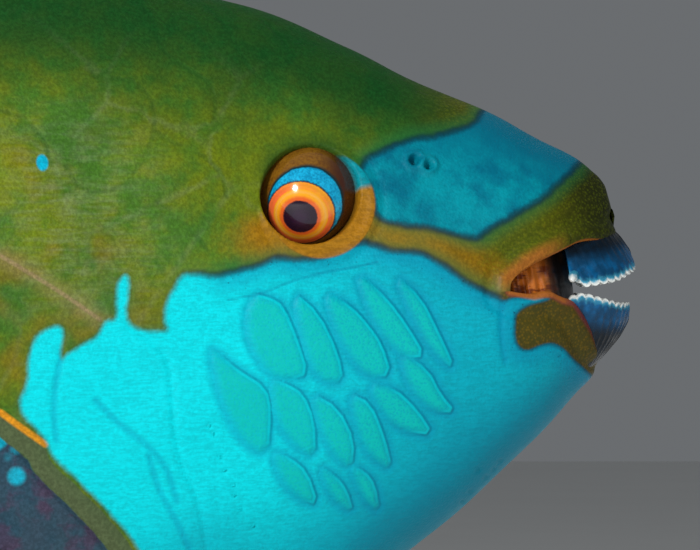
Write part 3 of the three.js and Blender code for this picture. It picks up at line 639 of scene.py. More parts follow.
# shader maths: Wire wraps a socket, so that numbers and colours can be written as expressions
class Wire:
    def __init__(self, tree, socket):
        self.tree, self.socket = tree, socket

    # plain numbers go through a Math node, and anything with a colour or a vector through Vector Math
    def join(self, operation, first, second=None):
        kind = "ShaderNodeMath"
        if isWide(first) or isWide(second):
            kind = "ShaderNodeVectorMath"
            first, second = ((v, v, v) if isinstance(v, (int, float)) else v for v in (first, second))
        return addNode(self.tree, kind, {"operation": operation}, i0=first, i1=second)

    def __add__(self, other):
        return self.join("ADD", self, other)

    def __radd__(self, other):
        return self.join("ADD", other, self)

    def __sub__(self, other):
        return self.join("SUBTRACT", self, other)

    def __rsub__(self, other):
        return self.join("SUBTRACT", other, self)

    def __mul__(self, other):
        return self.join("MULTIPLY", self, other)

    def __rmul__(self, other):
        return self.join("MULTIPLY", other, self)

    def __pow__(self, other):
        return self.join("POWER", self, other)

    def __neg__(self):
        return 0.0 - self

    def __abs__(self):
        return self.join("ABSOLUTE", self)

    def sine(self):
        return self.join("SINE", self)

    # from 0 at the low number to 1 at the high one
    def step(self, low, high):
        settings = {"interpolation_type": "SMOOTHSTEP"}
        return addNode(self.tree, "ShaderNodeMapRange", settings, i0=self, i1=float(low), i2=float(high))

    def fall(self, low, high):
        return 1.0 - self.step(low, high)


def isWide(value):
    return value.socket.type in ("RGBA", "VECTOR") if isinstance(value, Wire) else isinstance(value, tuple)


# any node: its settings first, then values or links by input number (i0, i1) or by name
def addNode(tree, kind, settings=None, out=0, **values):
    node = tree.nodes.new(kind)
    for key, value in (settings or {}).items():
        setattr(node, key, value)
    for key, value in values.items():
        if value is None:
            continue
        socket = node.inputs[int(key[1:]) if key[1:].isdigit() else key]
        if isinstance(value, Wire):
            tree.links.new(value.socket, socket)
        else:
            socket.default_value = (*value, 1.0) if socket.type == "RGBA" else value
    return Wire(tree, node.outputs[out])


# a colour from the usual 0 to 255 numbers
def rgb(levels):
    shares = [level / 255 for level in levels]
    return tuple(c / 12.92 if c <= 0.04045 else ((c + 0.055) / 1.055) ** 2.4 for c in shares)


# a material that is built up in layers, with its colours known by name
class Paint:
    def __init__(self, name, colours=None, **constants):
        self.material = bpy.data.materials.new(name)
        self.material.use_nodes = True
        self.tree = self.material.node_tree
        self.shader = self.tree.nodes["Principled BSDF"]
        for key, value in constants.items():
            self.shader.inputs[key.replace("_", " ")].default_value = value
        self.tones = {key: rgb(levels) for key, levels in (colours or {}).items()}
        self.place = addNode(self.tree, "ShaderNodeTexCoord", None, "Object") * (1000.0, 1000.0, 1000.0)

    def field(self, name):
        return addNode(self.tree, "ShaderNodeAttribute", {"attribute_name": name}, "Fac")

    def noise(self, size, detail=3.0, roughness=0.55, place=None):
        values = {"Scale": 1.0 / size, "Detail": float(detail), "Roughness": roughness}
        return addNode(self.tree, "ShaderNodeTexNoise", Vector=place or self.place, **values)

    def cells(self, size, feature="F1", place=None):
        values = {"Vector": place or self.place, "Scale": 1.0 / size}
        return addNode(self.tree, "ShaderNodeTexVoronoi", {"feature": feature}, "Distance", **values)

    def mix(self, under, over, amount):
        under, over = (self.tones[c] if isinstance(c, str) else c for c in (under, over))
        return addNode(self.tree, "ShaderNodeMix", {"data_type": "RGBA"}, 2, i0=amount, i6=under, i7=over)

    def lay(self, colour, amount):
        self.base = self.mix(self.base, colour, amount)

    def finish(self, roughness=None, height=None, strength=0.5, depth=0.1, coat=None):
        links = {"Base Color": self.base, "Roughness": roughness, "Coat Weight": coat}
        if height is not None:
            values = {"Strength": strength, "Distance": depth / 1000, "Height": height}
            links["Normal"] = addNode(self.tree, "ShaderNodeBump", **values)
        for name, wire in links.items():
            if wire is not None:
                self.tree.links.new(wire.socket, self.shader.inputs[name])
        return self.material


skinTones = {
    "olive": (116, 130, 12), "oliveGreen": (72, 118, 34), "deepGreen": (6, 70, 28), "gold": (168, 112, 8),
    "oldGold": (142, 106, 16), "paleSheen": (140, 158, 124), "palePink": (176, 146, 112),
    "yellowFleck": (190, 160, 40), "snoutBlue": (0, 150, 166), "snoutDeep": (0, 108, 134),
    "cheekBright": (0, 222, 232), "cheekSea": (0, 172, 192), "cheekShade": (0, 130, 160), "navy": (4, 40, 66),
    "seaDark": (6, 66, 58), "leaf": (4, 200, 188), "shadowLine": (0, 96, 136), "groove": (0, 138, 176),
    "glow": (26, 112, 60), "chin": (60, 62, 26), "lipOrange": (176, 104, 40), "lipDark": (34, 40, 12),
    "lipOlive": (84, 82, 12), "lipPink": (140, 62, 66), "mouthShade": (22, 10, 8), "rim": (170, 116, 22),
    "socket": (104, 74, 22), "membrane": (86, 100, 66), "stripe": (226, 150, 30), "slate": (44, 72, 98),
    "plum": (70, 58, 92), "spot": (0, 178, 210), "lavender": (170, 120, 130), "flank": (58, 122, 76),
    "flankSea": (20, 140, 128), "belly": (40, 132, 130),
}
grain = {  # sizes of the patterns
    "broad": 14.0, "middle": 3.2, "fine": 0.55, "shades": 15.0, "rust": 9.0, "rays": 1.1, "pebbles": 0.5,
    "breastClouds": 5.0, "breastSpots": 9.0, "ripples": 0.55, "leafDots": 0.42, "specks": 0.8, "hairs": 0.5,
}


def skinPaint(name):
    paint = Paint(name, skinTones, IOR=1.38, Coat_Roughness=0.25, Specular_IOR_Level=0.14)
    paint.broad, paint.middle = paint.noise(grain["broad"]), paint.noise(grain["middle"], 4)
    paint.fine, paint.pebbles = paint.noise(grain["fine"]), paint.cells(grain["pebbles"])
    paint.wave, paint.swell = paint.middle - 0.5, paint.broad - 0.5
    paint.station, paint.level = paint.field("station"), paint.field("level")
    paintBody(paint)
    paintFace(paint)
    paintBreast(paint)
    paint.base = paint.base * (0.82 + paint.fine.step(0.35, 0.7) * 0.34)
    paintPatches(paint)
    paintEyeRim(paint)
    paintMouth(paint)
    pits = paint.field("pore").fall(0.15, 0.4) * 2.0
    height = paint.fine * 0.5 + paint.cells(0.42) * 0.5 + paint.middle * 0.6 - pits
    rough, coat = 0.5 + paint.wave * 0.25, 0.05 + paint.swell * 0.08
    return paint.finish(rough, height, strength=0.6, depth=0.2, coat=coat)


# olive head that turns green up and back, with painted shade there too, and sea green on the body
def paintBody(paint):
    field, lay, mix = paint.field, paint.lay, paint.mix
    broad, middle, wave, station, level = paint.broad, paint.middle, paint.wave, paint.station, paint.level
    paint.base = mix("oliveGreen", "olive", (broad + middle * 0.6).step(0.62, 0.98))
    # deeper green toward the top: partly the fish's own green, partly painted shade where the surface turns from
    # the light
    lay("deepGreen", (level + paint.swell * 0.35).step(0.5, 0.86) * 0.9)
    spot = paint.place * (1.0, 0.3, 1.0) + wave * 3.0
    lay("deepGreen", paint.cells(grain["shades"], place=spot).step(0.25, 0.7) * 0.22)
    seams = paint.cells(grain["shades"], "DISTANCE_TO_EDGE", spot).fall(0.0, 0.05)
    lay("paleSheen", seams * station.step(38, 60) * level.fall(0.6, 0.9) * middle.step(0.3, 0.6) * 0.13)
    rusty = paint.noise(grain["rust"], 2).step(0.5, 0.66) * station.step(62, 78)
    lay("oldGold", rusty * field("cheek").fall(-1.0, 0.0) * (-level).step(-0.75, -0.2) * 0.45)
    sheen = abs(station - 78.0).fall(4, 18) * abs(level - 0.32).fall(0.05, 0.4)
    rays = paint.noise(grain["rays"], place=paint.place * (0.25, 0.3, 1.6))
    lay("paleSheen", sheen * (rays + wave * 0.6).step(0.3, 0.8) * 0.3)
    flank = mix("flank", "flankSea", (broad + wave * 0.5).step(0.42, 0.66))
    flank = mix(flank, "belly", (-level).step(0.35, 0.9))
    lay(flank, (station + paint.swell * 30.0).step(92, 150))
    lay("lavender", field("scaleEdge").fall(0.5, 1.9) * 0.75)
    lay("deepGreen", field("plate").fall(0.1, 0.6) * middle.step(0.35, 0.55) * 0.3)
    lay("spot", field("napeSpot").fall(1.0, 1.5))
    pinkLine = field("pinkLine")
    lay("palePink", pinkLine.fall(0.1, 0.5) * (0.15 + middle * 0.5) + pinkLine.fall(0.4, 2.6) * 0.2)


# rust gold before and below the eye, then olive lips, and painted shade over the front of the head
def paintFace(paint):
    field, lay, station = paint.field, paint.lay, paint.station
    underEye = field("eye").fall(9.0, 20.0) * (-field("eyeUp")).step(-0.15, 0.5)
    golden = field("rust").fall(1.0, 7.0) + underEye * 0.9
    lay("gold", (golden + paint.wave * 0.5).step(0.15, 1.0) * 0.85)
    lay("yellowFleck", paint.fine.step(0.5, 0.7) * station.fall(12, 26) * 0.22)
    lay("lipOlive", (station + paint.wave * 8.0).fall(14, 30) * 0.75)
    # painted shade: darker toward the front of the head, which turns from the light
    lay("lipDark", station.fall(0, 12) * 0.9)
    lay("olive", station.fall(18, 24) * paint.pebbles.fall(0.15, 0.6) * 0.25)
    lay("lipOrange", field("lip").fall(0.5, 2.6) * station.step(5, 11) * 0.85)


# grey membrane behind the gill cover, with a gold stripe, and the dark breast with its spots
def paintBreast(paint):
    station, down = paint.station, -paint.level
    margin = paint.field("margin") + paint.wave * 0.8
    breast = margin.fall(-3.3, -2.7) * down.step(-0.12, 0.12) * station.fall(118, 150)
    mottled = paint.mix("slate", "plum", paint.noise(grain["breastClouds"], 4).step(0.46, 0.6))
    mottled = paint.mix(mottled, "spot", paint.cells(grain["breastSpots"]).fall(0.16, 0.24))
    paint.lay(mottled, breast * 0.9)
    membrane = margin.fall(-0.3, 0.1) * margin.step(-3.2, -2.8) * down.step(-0.3, 0.05)
    paint.lay("membrane", membrane * station.fall(112, 118))
    paint.lay("stripe", paint.field("stripe").fall(0.25, 0.7))


# turquoise snout and cheek, each with a navy edge and a green glow outside it
def paintPatches(paint):
    crisp = 1.0 - paint.station.step(56, 70) * 0.85
    for patch in ("snout", "cheek"):
        inside = paint.field(patch) + paint.wave * 0.9 + (paint.fine - 0.5) * 0.3
        filling = snoutFilling(paint) if patch == "snout" else cheekFilling(paint, inside)
        paint.lay("glow", inside.step(-3.2, -0.6) * 0.5 * crisp)
        paint.lay("seaDark", inside.step(-1.3, -0.2) * 0.5 * crisp)
        paint.lay(filling, inside.step(-0.6, 0.5))
        paint.lay("navy", abs(inside + 0.1).fall(0.1, 0.95) * (0.35 + 0.5 * paint.middle) * crisp)


def snoutFilling(paint):
    filling = paint.mix("snoutDeep", "snoutBlue", (paint.broad + paint.wave * 0.5).step(0.3, 0.62))
    filling = filling * (0.9 + paint.fine.step(0.3, 0.7) * 0.16)
    # painted shade: the snout darkens toward its top, where the surface turns from the light
    return paint.mix(filling, "snoutDeep", paint.level.step(0.6, 0.95))


def cheekFilling(paint, inside):
    field, wave, station = paint.field, paint.wave, paint.station
    ripples = paint.noise(grain["ripples"], 2, 0.5, paint.place * (0.35, 0.3, 1.5) + wave * 1.2)
    filling = paint.mix("cheekSea", "cheekBright", (station + paint.swell * 24.0).step(26, 60))
    filling = filling * (0.86 + paint.fine.step(0.3, 0.7) * 0.1 + ripples.step(0.35, 0.65) * 0.16)
    dots, leaf = paint.cells(grain["leafDots"]).step(0.2, 0.55), field("leaf")
    fore = field("leafFore").step(-0.5, 1.5)
    shore = inside.fall(0.2, 4.5) * station.fall(56, 66)
    specks = (paint.cells(grain["specks"]) + wave * 0.5).fall(0.02, 0.2)
    layers = (
        # painted shade: the cheek darkens toward the belly, where its surface turns from the light
        ("cheekShade", (paint.swell * 0.3 - paint.level).step(0.4, 0.95) * 0.85),
        ("groove", field("crease").fall(0.0, 0.9) * 0.4), ("groove", leaf.step(-1.8, -0.3) * 0.45),
        ("leaf", leaf.step(-0.5, 1.2) * (0.35 + dots * 0.45)),
        # painted highlight and painted shadow: a light line just inside each plate's front edge and a dark line
        # just outside it, and painted shade along the fold under the eye
        ("cheekBright", abs(leaf - 0.12).fall(0.08, 0.3) * fore * 0.5),
        ("shadowLine", abs(leaf + 0.28).fall(0.05, 0.3) * fore * 0.35), ("shadowLine", field("fold").fall(0.05, 0.35) * 0.35),
        ("groove", shore * 0.55), ("navy", specks * shore * 0.7),
    )
    for tone, amount in layers:
        filling = paint.mix(filling, tone, amount)
    return filling


# eye rim: gold below and behind, turquoise in front, and painted shade just above the eye
def paintEyeRim(paint):
    lay, rimAway, eyeAway = paint.lay, paint.field("rim"), paint.field("eye")
    up, ahead, radius = paint.field("eyeUp"), paint.field("eyeFore"), eyes["rimRadius"]
    rim = rimAway.fall(radius + 0.1, radius + 0.5) * (1.0 - up.step(-0.15, 0.15) * ahead.fall(0.35, 0.7))
    ring = paint.mix("rim", "snoutBlue", ahead.step(0.3, 0.5) * up.step(-0.1, 0.02))
    hairs = paint.noise(grain["hairs"], 3, 0.6, paint.place * (0.4, 1.0, 1.0))
    lay(ring * (0.8 + hairs.step(0.35, 0.65) * 0.3), rim * 0.92)
    lay("lipDark", abs(rimAway - (radius + 0.5)).fall(0.05, 0.3) * rim.step(0.0, 0.5) * 0.4)
    # painted shade: a darker green band just above the eye opening
    lay("deepGreen", eyeAway.fall(7.6, 10.5) * up.step(0.3, 0.8) * 0.6)
    lay("socket", eyeAway.fall(7.1, 7.6))


# chin, lower lip and the lining of the mouth, with painted shade deeper in the mouth
def paintMouth(paint):
    field, lay, station, lip = paint.field, paint.lay, paint.station, paint.field("lip")
    chinPatch = field("lower") * field("cheek").fall(-0.2, 0.2) * station.fall(17, 18.5)
    speckled = paint.pebbles.fall(0.15, 0.6) * 0.3 + paint.middle * 0.25
    lay(paint.mix("chin", "oldGold", speckled), chinPatch * 0.95)
    lay("chin", field("knob").fall(1.3, 2.0))
    lay("lipPink", chinPatch * lip.fall(0.4, 1.2) * 0.8)
    tan = lip.fall(0.3, 0.9) * field("lower") * station.step(7.0, 8.5) * station.fall(17.0, 18.0)
    lay("lipOrange", tan * 0.85)
    inner = field("inside")
    # painted shade: the lining darkens to near black deeper in the mouth
    lining = paint.mix("lipOrange", "mouthShade", (inner + (paint.fine - 0.5) * 0.1).step(0.12, 0.42))
    lay(lining, inner.step(0.0, 0.05))


# eyeballs: a globe with a clear bulge, painted in rings round the pupil
rings = {
    "pupil": 2.5, "thinRing": 3.7, "iris": 4.98, "blue": 5.55, "blueForward": 0.75, "blueUp": 1.05, "steps": 120,
    "bulge": 0.55, "bulgeWidth": 4.2, "reach": 112.0,
}
eyeTones = {
    "sclera": (140, 96, 24), "scleraDark": (94, 52, 16), "front": (72, 34, 16), "blue": (0, 140, 186),
    "sky": (20, 186, 232), "blueEdge": (6, 44, 48), "irisEdge": (20, 40, 56), "orange": (255, 116, 58),
    "amber": (250, 166, 36), "gold": (255, 172, 30), "paleRing": (250, 190, 100), "red": (236, 104, 40),
    "pupil": (34, 16, 38), "pupilGlow": (62, 34, 66),
}


def buildEye(side, word, material):
    gaze = unit(np.array([eyes["lookBack"], side, -eyes["turnDown"]]))
    forward = unit(np.array([-1.0, 0.0, 0.0]) + gaze * gaze[0])
    upward = np.cross(gaze, forward)
    upward *= np.sign(upward[2])
    outward = halfWidth(np.array([eyes["station"]]), np.array([eyes["height"]]))[0] - eyes["depth"]
    centre = np.array([eyes["station"], side * outward, eyes["height"]])
    steps = rings["steps"]
    turn = turnsRound(steps)
    tip = np.concatenate([[1e-4], np.linspace(0, 1, steps // 2 + 1)[1:]])[:, None]
    tip = tip * math.radians(rings["reach"])
    bulge = np.exp(-((np.sin(tip) * eyes["radius"] / rings["bulgeWidth"]) ** 2)) * (np.cos(tip) > 0)
    reach = eyes["radius"] + rings["bulge"] * bulge
    right, up = np.sin(tip) * np.cos(turn), np.sin(tip) * np.sin(turn)
    toward = np.cos(tip)[..., None] * gaze + right[..., None] * forward + up[..., None] * upward
    fields = {"ahead": eyes["radius"] * right, "above": eyes["radius"] * up}
    points = centre + reach[..., None] * toward
    buildRound(f"eyeball_{word}", points, fields, material, (f"eye_{word}",))


def eyePaint():
    paint = Paint("wetEye", eyeTones, Roughness=0.16, IOR=1.38, Coat_Weight=0.6, Coat_Roughness=0.03)
    mix, lay = paint.mix, paint.lay
    ahead, above, fibres = paint.field("ahead"), paint.field("above"), paint.noise(0.35)
    hair, cloud = fibres - 0.5, paint.noise(1.6) - 0.5
    away = (ahead * ahead + above * above) ** 0.5 + hair * 0.25
    blueAhead, blueAbove = ahead - rings["blueForward"], above - rings["blueUp"]
    blueAway = (blueAhead * blueAhead + blueAbove * blueAbove) ** 0.5 + cloud * 0.35

    def disc(distance, ring, inner, outer):
        return distance.fall(rings[ring] + inner, rings[ring] + outer)

    paint.base = mix("sclera", "scleraDark", (cloud * 0.5 + hair * 0.6).step(-0.15, 0.3))
    lay("front", ahead.step(2.5, 6.6))
    lay("blueEdge", disc(blueAway, "blue", 0.05, 0.42))
    blue = mix("blue", "sky", (fibres + cloud * 0.6).step(0.3, 0.72))
    lay(blue, disc(blueAway, "blue", -0.15, 0.05))
    lay("irisEdge", disc(away, "iris", 0.05, 0.35))
    orange = mix("orange", "amber", ((ahead + above) * 0.12 + cloud * 1.2).step(0.05, 0.95))
    circles = (away * 9.0 + fibres * 2.0).sine()
    lay(orange * (0.96 + circles * 0.06), disc(away, "iris", -0.1, 0.1))
    lay("gold", disc(away, "thinRing", 0.25, 0.5))
    lay("paleRing", abs(away - rings["thinRing"]).fall(0.05, 0.28) * 0.4)
    lay("red", disc(away, "pupil", 0.3, 0.9))
    lay("pupil", disc(away, "pupil", -0.1, 0.15))
    lay("pupilGlow", away.fall(0.2, 1.9) * 0.5)
    return paint.finish(height=fibres, strength=0.1, depth=0.05)


# beak: fused plates with a scalloped edge of small teeth, and one small tooth that stands out at each side
beak = {
    "upper": {
        "root": 12.0, "rootFront": 0.6, "edgeFront": -4.1, "rear": 6.6, "width": 10.4, "rootWidth": 0.82,
        "cut": [(0, 2.6), (0.3, 1.7), (0.6, 0.9), (0.85, 0.9), (1, 2.6)],
    },
    "lower": {
        "root": -12.0, "rootFront": 5.6, "edgeFront": -2.2, "rear": 7.4, "width": 9.6, "rootWidth": 0.5,
        "cut": [(0, -2.7), (0.35, -2.4), (0.65, -1), (0.88, 0.2), (1, 0)],
    },
    "thickness": 2.0, "teeth": 11, "scallop": 0.5, "wear": 0.22, "columns": 150, "rows": 46, "band": 12.0,
}
canine = {"root": (5.8, 3.3), "inset": 1.4, "aim": (0.25, -0.35), "length": 3.1, "radius": 0.85, "steps": 24}
# colours of the beak, where the near-black root tone is painted shade
beakTones = {
    "enamel": (4, 66, 104), "blue": (2, 96, 150), "root": (3, 10, 16), "pale": (70, 170, 200),
    "edge": (236, 240, 236),
}


def buildPlate(jaw, side, word, material):
    form = beak[jaw]
    a = np.linspace(0, 1, beak["columns"])[:, None]
    rise = np.linspace(0, 1, beak["rows"])[None, :]
    turn = a * math.pi / 2
    tooth = np.abs(np.sin(a * beak["teeth"] * math.pi))
    front = form["rootFront"] + (form["edgeFront"] - form["rootFront"]) * np.sin(rise * math.pi / 2)
    edgeHeight = through(form["cut"])(a) + math.copysign(beak["scallop"], form["root"]) * (1 - tooth**0.6)
    height = form["root"] + (edgeHeight - form["root"]) * rise
    wear = beak["wear"] * (1 - tooth**0.5) * smoothStep(rise, 0.7, 1.0)
    wear = wear + 0.05 * np.sin(a * 61 + rise * 23) * rise
    wide = form["width"] * (form["rootWidth"] + (1 - form["rootWidth"]) * rise)
    faces = []
    for inset in (0, 1):
        thin = beak["thickness"] * (1.15 - 0.75 * rise**1.5) * inset + wear * (1 - inset)
        across = np.maximum(0.12, np.sin(turn) * (wide - thin))
        station = form["rear"] + (front - form["rear"]) * np.cos(turn) + np.cos(turn) * thin
        faces.append(grid(station, side * across, height))
    points, quads = closedSlab(*faces)
    toEdge = np.broadcast_to((1 - rise) * beak["band"], height.shape)
    nodes = (f"{jaw}_tooth_plate_{word}",)
    fields = {"toEdge": np.tile(toEdge.ravel(), 2)}
    makePiece(f"{jaw}_plate_{word}", points, quads, fields, material, nodes)


def buildCanine(side, word, material):
    steps = canine["steps"]
    root = np.array([canine["root"][0], side * (beak["upper"]["width"] - canine["inset"]), canine["root"][1]])
    aim = unit(np.array([canine["aim"][0], side, canine["aim"][1]]))
    firstAcross = unit(np.cross(aim, [0, 0, 1]))
    secondAcross = np.cross(aim, firstAcross)
    rise = np.linspace(0, 1, steps)[:, None]
    turn = turnsRound(steps)
    radius = canine["radius"] * np.sqrt(np.clip(1 - rise**2.2, 0, 1)) + 0.002
    points = root + canine["length"] * rise[..., None] * aim
    points = points + (radius * np.cos(turn))[..., None] * firstAcross
    points = points + (radius * np.sin(turn))[..., None] * secondAcross
    fields = {"toEdge": np.broadcast_to((1 - rise) * 1.4, (steps, steps))}
    buildRound(f"canine_{word}", points, fields, material, ())


def beakPaint():
    gloss = {"IOR": 1.5, "Coat_Weight": 0.15, "Coat_Roughness": 0.1, "Specular_IOR_Level": 0.25}
    paint = Paint("beakEnamel", beakTones, **gloss)
    streaks, patches, toEdge = paint.noise(0.7, 4), paint.noise(2.4), paint.field("toEdge")
    edge = toEdge + (streaks - 0.5) * 1.2
    paint.base = paint.mix("enamel", "blue", patches.step(0.4, 0.65))
    # painted shade: the plates darken to near black toward their roots, where the lips shade them
    paint.lay("root", (toEdge + (patches - 0.5) * 2.5).step(2.2, 6.5) * 0.95)
    paint.lay("pale", edge.fall(0.5, 1.6) * 0.8)
    paint.lay("edge", edge.fall(0.2, 0.8))
    return paint.finish(0.26 + (streaks - 0.5) * 0.2, streaks, strength=0.3, depth=0.15)


# flesh that fills the mouth behind the plates, wrinkled where it shows beside the corner
gum = {
    "front": 6.0, "rear": 24.0, "halfWidth": 12.6, "halfHeight": 9.5, "middle": 2.4, "rings": 120, "around": 160,
}
gumTones = {"flesh": (206, 116, 34), "brown": (120, 52, 14), "shade": (20, 16, 16)}


def buildGum(material):
    share = np.linspace(0, 1, gum["rings"])[:, None]
    turn = turnsRound(gum["around"])
    station = gum["front"] + (gum["rear"] - gum["front"]) * share
    swell = np.clip(1 - (1 - share) ** 5, 0, 1) ** 0.5 + 0.0005
    across, up = np.cos(turn), np.sin(turn)
    wrinkles = 0.3 * np.sin(station * 2.6 + np.sin(turn * 3) * 1.5) + 0.15 * np.sin(station * 5.3 + turn * 4)
    side = np.sign(across) * np.abs(across) ** 0.7 * (gum["halfWidth"] + wrinkles) * swell
    height = gum["middle"] + np.sign(up) * np.abs(up) ** 0.8 * gum["halfHeight"] * swell
    points = grid(station, side, height)
    buildRound("mouth_flesh", points, {"deep": points[..., 0]}, material, ())


def gumPaint():
    gloss = {"IOR": 1.4, "Coat_Weight": 0.4, "Coat_Roughness": 0.2, "Specular_IOR_Level": 0.4}
    paint = Paint("mouthFlesh", gumTones, **gloss)
    slant = paint.place * (0.75, 0.2, 0.75) + paint.place * (0.0, 0.0, 1.3)
    wet, fine = paint.noise(1.6, 4, 0.6, slant), paint.noise(0.4)
    paint.base = paint.mix("flesh", "brown", wet.step(0.42, 0.6))
    paint.lay("shade", (paint.field("deep") + (wet - 0.5) * 3.0).fall(8.6, 11.6))
    return paint.finish(0.4 + (fine - 0.5) * 0.3, wet + fine * 0.4, strength=0.5, depth=0.25)


# fins: webs with a ridge for each ray, branching toward the edge
fins = {
    "dorsal": {
        "front": 98, "rear": 276, "rays": 19, "ray": (1.3, 0.5), "web": (0.55, 0.3), "spines": 0.47,
        "length": through([(0, 17), (0.06, 23), (0.3, 27.5), (0.6, 29.5), (0.88, 29), (1, 21)]),
        "lean": through([(0, 13), (0.5, 16), (1, 26)]),
        "notch": through([(0, 2.4), (0.45, 1.6), (0.55, 0.5), (1, 0.5)]),
    },
    "anal": {
        "front": 196, "rear": 274, "rays": 12, "ray": (1.2, 0.5), "web": (0.55, 0.3), "spines": 0.2,
        "length": through([(0, 12), (0.15, 20), (0.4, 25), (0.8, 24.5), (1, 17)]),
        "lean": through([(0, 12), (0.5, 17), (1, 25)]), "notch": through([(0, 1.6), (0.25, 0.5), (1, 0.4)]),
    },
    "tail": {
        "rays": 15, "ray": (2.4, 0.6), "web": (1.5, 0.4), "spines": -1, "root": 315.0, "middle": 10,
        "rootHalf": 17.5, "tipHalf": 57, "centreLength": 54, "lobeLength": 77,
    },
    "pectoral": {
        "rays": 13, "ray": (1.1, 0.45), "web": (0.45, 0.26), "spines": 0.04, "root": ((104, -1), (108.5, -19)),
        "spread": (8, -62), "swing": 34, "curl": 9,
        "length": through([(0, 62), (0.12, 66), (0.4, 58), (0.75, 40), (1, 24)]),
    },
    "pelvic": {
        "rays": 6, "ray": (1.1, 0.5), "web": (0.45, 0.3), "spines": 0.1, "root": ((112, -49.5), (119, -51.5)),
        "spread": (-24, -9), "swing": 13, "curl": 3,
        "length": through([(0, 46), (0.2, 54), (0.6, 46), (1, 30)]),
    },
    "sunk": 4.0, "fineness": 16, "rows": 90,
}


# 1 on a ray and 0 in the web between; soft rays fork as they go out
def rayRidge(a, out, rays, spines):
    place = a * (rays - 1)
    nearest = np.round(place)
    soft = nearest / (rays - 1) > spines
    fork = 0.24 * smoothStep(out, 0.3, 0.95) * soft
    smallFork = 0.1 * smoothStep(out, 0.65, 1.0) * soft
    distance = np.abs(np.abs(np.abs(place - nearest) - fork) - smallFork)
    return bump(distance, 0, 0.13 * (1 - 0.35 * out)), soft


def buildFin(name, form, centre, material, node):
    gaps = form["rays"] - 1
    a = np.linspace(0, 1, gaps * fins["fineness"] + 1)[:, None]
    out = np.linspace(0, 1, fins["rows"])[None, :]
    ridge, soft = rayRidge(a, out, form["rays"], form["spines"])
    middle = centre(a, out, np.abs(np.sin(a * gaps * math.pi)) ** 1.5)
    normals = gridNormals(middle)
    web, ray = (form[key][0] + (form[key][1] - form[key][0]) * out for key in ("web", "ray"))
    thickness = (web + (ray - web) * ridge) * (1 - 0.6 * smoothStep(out, 0.93, 1.0))
    ripple = 0.25 * np.sin(a * gaps * math.pi * 2 + 0.8) * np.sin(out * 5 + a * 9) * out
    middle = middle + normals * ripple[..., None]
    half = normals * (thickness / 2)[..., None]
    points, quads = closedSlab(middle + half, middle - half)
    values = np.broadcast_arrays(a, out, ridge, soft)
    fields = {key: np.tile(value.ravel(), 2) for key, value in zip(("across", "out", "ray", "softRay"), values)}
    makePiece(name, points, quads, fields, material, (node,))


# the middle sheet of each kind of fin, from the place across its rays and the share of the way out
def medianCentre(form, outline, way):
    def centre(a, out, between):
        foot = form["front"] + (form["rear"] - form["front"]) * a
        length = form["length"](a) - between * form["notch"](a)
        bend = out * (0.75 + 0.25 * out)
        height = outline(foot) + way * (-fins["sunk"] + (length + fins["sunk"]) * out)
        return grid(foot + form["lean"](a) * bend, 0.0, height)

    return centre


def tailCentre(a, out, between):
    form = fins["tail"]
    place = 2 * a - 1
    edge = np.abs(place)
    length = form["centreLength"] + (form["lobeLength"] - form["centreLength"]) * edge**4
    length = length + 3 * np.cos(place * math.pi * 1.5) - between
    wide = form["rootHalf"] * place
    spread = wide + (form["tipHalf"] * np.sign(place) * edge**1.15 - wide) * np.maximum(out, 1e-6) ** 0.9
    return grid(form["root"] + (length + 3) * out, 0.0, form["middle"] + spread)


def pairedCentre(form, side):
    (s0, h0), (s1, h1) = form["root"]
    turn = math.radians(form["swing"])
    back = np.array([math.cos(turn), side * math.sin(turn), 0])
    outward = np.array([-math.sin(turn), side * math.cos(turn), 0])

    def centre(a, out, between):
        s, h = s0 + (s1 - s0) * a, h0 + (h1 - h0) * a
        root = grid(s, side * (halfWidth(s, h) - fins["sunk"] * 0.6), h) - back * 2
        fan = np.radians(form["spread"][0] + (form["spread"][1] - form["spread"][0]) * a)
        reach = (form["length"](a) - between) * out
        bow = form["curl"] * np.sin(out * math.pi * 0.5) * (1 - out * 0.6)
        point = root + (np.cos(fan) * reach)[..., None] * back + bow[..., None] * outward
        point[..., 2] += np.sin(fan) * reach
        return point

    return centre


# bands of a fin: colour at the root, over most of the web, just inside the edge, at the edge, and on the rays
finBands = {
    "dorsal": ((20, 140, 128), (196, 110, 84), (36, 150, 140), (10, 96, 190), (60, 160, 150)),
    "anal": ((24, 150, 150), (200, 108, 88), (40, 150, 150), (10, 100, 196), (60, 160, 160)),
    "tail": ((40, 128, 96), (18, 150, 150), (196, 116, 84), (8, 104, 190), (30, 170, 176)),
    "pectoral": ((40, 104, 104), (70, 150, 140), (90, 160, 150), (120, 170, 150), (30, 140, 150)),
    "pelvic": ((90, 140, 120), (206, 120, 92), (206, 130, 100), (20, 120, 190), (190, 130, 110)),
}
leadingEdge = (10, 96, 190)


def finPaint(kind):
    tones = dict(zip(("root", "web", "inner", "edge", "rays"), finBands[kind]), leading=leadingEdge)
    paint = Paint(f"{kind}Fin", tones, IOR=1.4, Coat_Weight=0.15, Coat_Roughness=0.25)
    out, ray, across = paint.field("out"), paint.field("ray"), paint.field("across")
    fine, reach = paint.noise(0.6), out + (paint.noise(6) - 0.5) * 0.14
    paint.base = paint.mix("root", "web", reach.step(0.18, 0.32))
    paint.lay("inner", reach.step(0.68, 0.8))
    paint.lay("edge", out.step(0.9, 0.94))
    paint.lay("rays", ray * 0.45)
    if kind == "tail":
        paint.lay("leading", (across.fall(0.03, 0.1) + across.step(0.9, 0.97)) * 0.9)
    elif kind in ("pectoral", "pelvic"):
        paint.lay("leading", across.fall(0.03, 0.1) * 0.9)
    height = fine * 0.5 + (out * 260.0).sine() * ray * paint.field("softRay") * 0.35
    return paint.finish(0.38 + (fine - 0.5) * 0.2, height, strength=0.35, depth=0.2)


